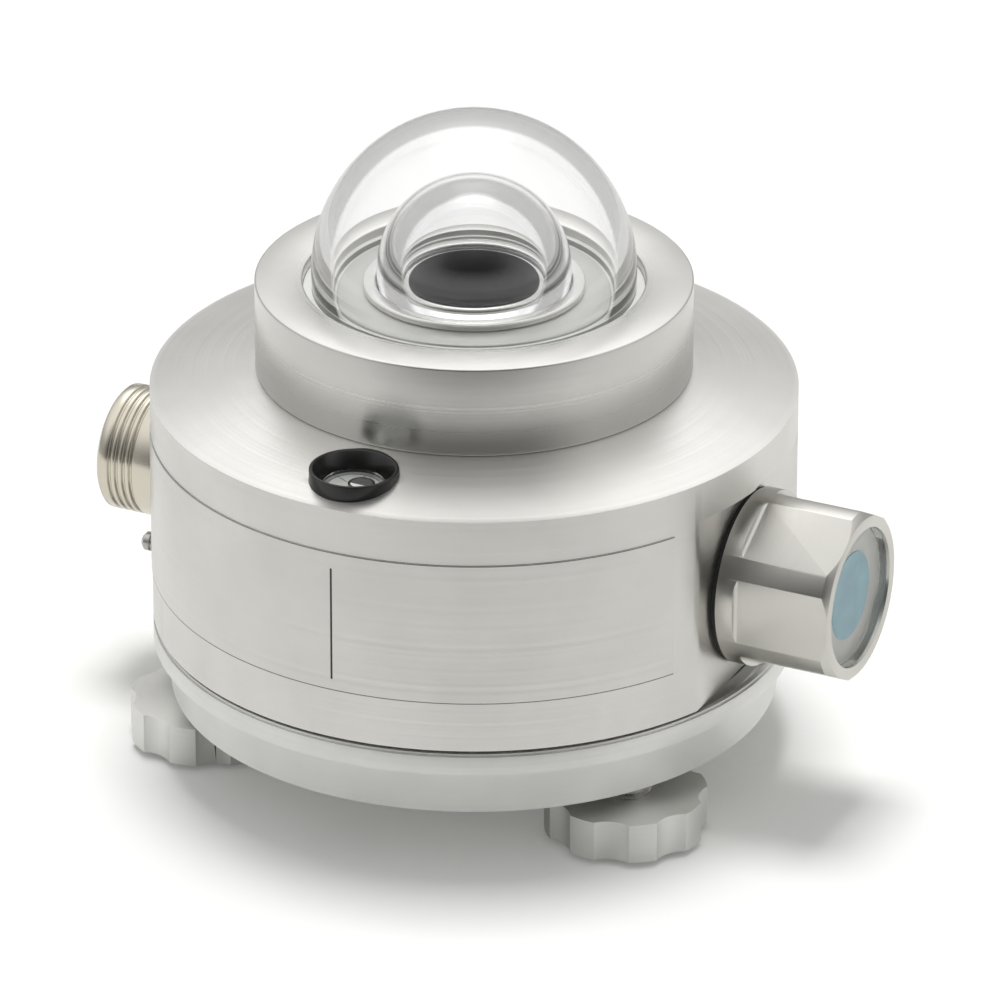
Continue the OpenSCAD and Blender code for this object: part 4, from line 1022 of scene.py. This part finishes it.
def ray_masks(material):
    """1 for the rays to the camera, for those and the ones through glass, and for those and
    the ones that metal reflects"""
    path = add_node(material, "ShaderNodeLightPath").outputs
    to_camera = path["Is Camera Ray"]
    shown = add_node(material, "ShaderNodeMath", {
        0: to_camera, 1: path["Is Transmission Ray"]}, operation="MAXIMUM").outputs[0]
    seen = add_node(material, "ShaderNodeMath", {
        0: shown, 1: path["Is Glossy Ray"]}, operation="MAXIMUM").outputs[0]
    return to_camera, shown, seen


glow = add_node(floor_paint, "ShaderNodeMath", {
    0: ray_masks(floor_paint)[1], 1: paper_glow}, operation="MULTIPLY")
floor_paint.node_tree.links.new(glow.outputs[0], shader.inputs["Emission Strength"])
floor.data.materials.append(floor_paint)

# The room: a long soft box from the back to overhead, grey walls, and dark behind the camera,
# as a studio with its lights off on that side. The camera itself sees plain white.
world = bpy.data.worlds.new("studio")
bpy.context.scene.world = world
world.use_nodes = True
background = world.node_tree.nodes["Background"]
way = add_node(world, "ShaderNodeTexCoord").outputs["Generated"]
height = add_node(world, "ShaderNodeSeparateXYZ", {"Vector": way}).outputs["Z"]
upward = add_node(world, "ShaderNodeMapRange", {
    "Value": height, "From Min": 0.15, "From Max": 0.75, "To Min": 0.45, "To Max": 1.1},
    interpolation_type="SMOOTHSTEP").outputs[0]
aside = add_node(world, "ShaderNodeVectorMath", {
    0: way, 1: (cos(radians(view_turn)), sin(radians(view_turn)), 0)},
    operation="DOT_PRODUCT").outputs["Value"]
aside = add_node(world, "ShaderNodeMath", {0: aside}, operation="ABSOLUTE").outputs[0]
strip = add_node(world, "ShaderNodeMapRange", {
    "Value": aside, "From Min": 0.05, "From Max": 0.42, "To Min": 1.0, "To Max": 0.0},
    interpolation_type="SMOOTHSTEP").outputs[0]
overhead = add_node(world, "ShaderNodeMapRange", {
    "Value": height, "From Min": 0.32, "From Max": 0.7, "To Min": 0.0, "To Max": 1.15},
    interpolation_type="SMOOTHSTEP").outputs[0]
below_zenith = add_node(world, "ShaderNodeMapRange", {
    "Value": height, "From Min": 0.86, "From Max": 0.97, "To Min": 1.0, "To Max": 0.1},
    interpolation_type="SMOOTHSTEP").outputs[0]
overhead = add_node(world, "ShaderNodeMath", {
    0: overhead, 1: below_zenith}, operation="MULTIPLY").outputs[0]
upward = add_node(world, "ShaderNodeMath", {
    0: strip, 1: overhead, 2: upward}, operation="MULTIPLY_ADD").outputs[0]
to_front = add_node(world, "ShaderNodeVectorMath", {
    0: way, 1: front_way}, operation="DOT_PRODUCT").outputs["Value"]
lit = add_node(world, "ShaderNodeMapRange", {
    "Value": to_front, "From Min": 0.35, "From Max": 1.0, "To Min": 1.0, "To Max": 0.05},
    interpolation_type="SMOOTHSTEP").outputs[0]
room = add_node(world, "ShaderNodeMath", {0: upward, 1: lit}, operation="MULTIPLY").outputs[0]
to_camera, shown, seen = ray_masks(world)
ambient = add_node(world, "ShaderNodeMix", {
    2: ambient_strength, 3: room, 0: seen}).outputs[0]
above_object = add_node(world, "ShaderNodeMapRange", {
    "Value": height, "From Min": 0.1, "From Max": 0.4}).outputs[0]
behind_glass = add_node(world, "ShaderNodeMix", {0: above_object, 2: 1.0, 3: lit}).outputs[0]
behind_glass = add_node(world, "ShaderNodeMath", {
    0: room, 1: behind_glass}, operation="MAXIMUM").outputs[0]
strength = add_node(world, "ShaderNodeMix", {
    2: ambient, 3: behind_glass, 0: shown}).outputs[0]
strength = add_node(world, "ShaderNodeMix", {2: strength, 3: 1.0, 0: to_camera}).outputs[0]
world.node_tree.links.new(strength, background.inputs["Strength"])
background.inputs["Color"].default_value = (1, 1, 1, 1)


def soft_box(name, place, size, power):
    """A square lamp that faces the object"""
    clear_selection()
    bpy.ops.object.light_add(type="AREA", location=place)
    lamp = bpy.context.object
    lamp.name = name
    lamp.data.size = size
    lamp.data.energy = power
    lamp.visible_glossy = lamp.visible_transmission = False
    lamp.rotation_euler = (aim - Vector(place)).to_track_quat("-Z", "Y").to_euler()


soft_box("overhead_box", place=(-0.11, 0.25, 1.88), size=0.6, power=24)

clear_selection()
back = Vector((sin(radians(view_turn)) * cos(radians(view_rise)),
               -cos(radians(view_turn)) * cos(radians(view_rise)), sin(radians(view_rise))))
bpy.ops.object.camera_add(location=aim + back * view_distance)
camera = bpy.context.object
camera.rotation_euler = (-back).to_track_quat("-Z", "Y").to_euler()
camera.data.sensor_width = 36
camera.data.lens = camera.data.sensor_width * focal_pixels / picture_side
camera.data.shift_x = 0.5 - centre_u / picture_side
camera.data.shift_y = centre_v / picture_side - 0.5
camera.data.clip_start = 0.05
bpy.context.scene.camera = camera
bpy.context.scene.view_settings.view_transform = "Standard"
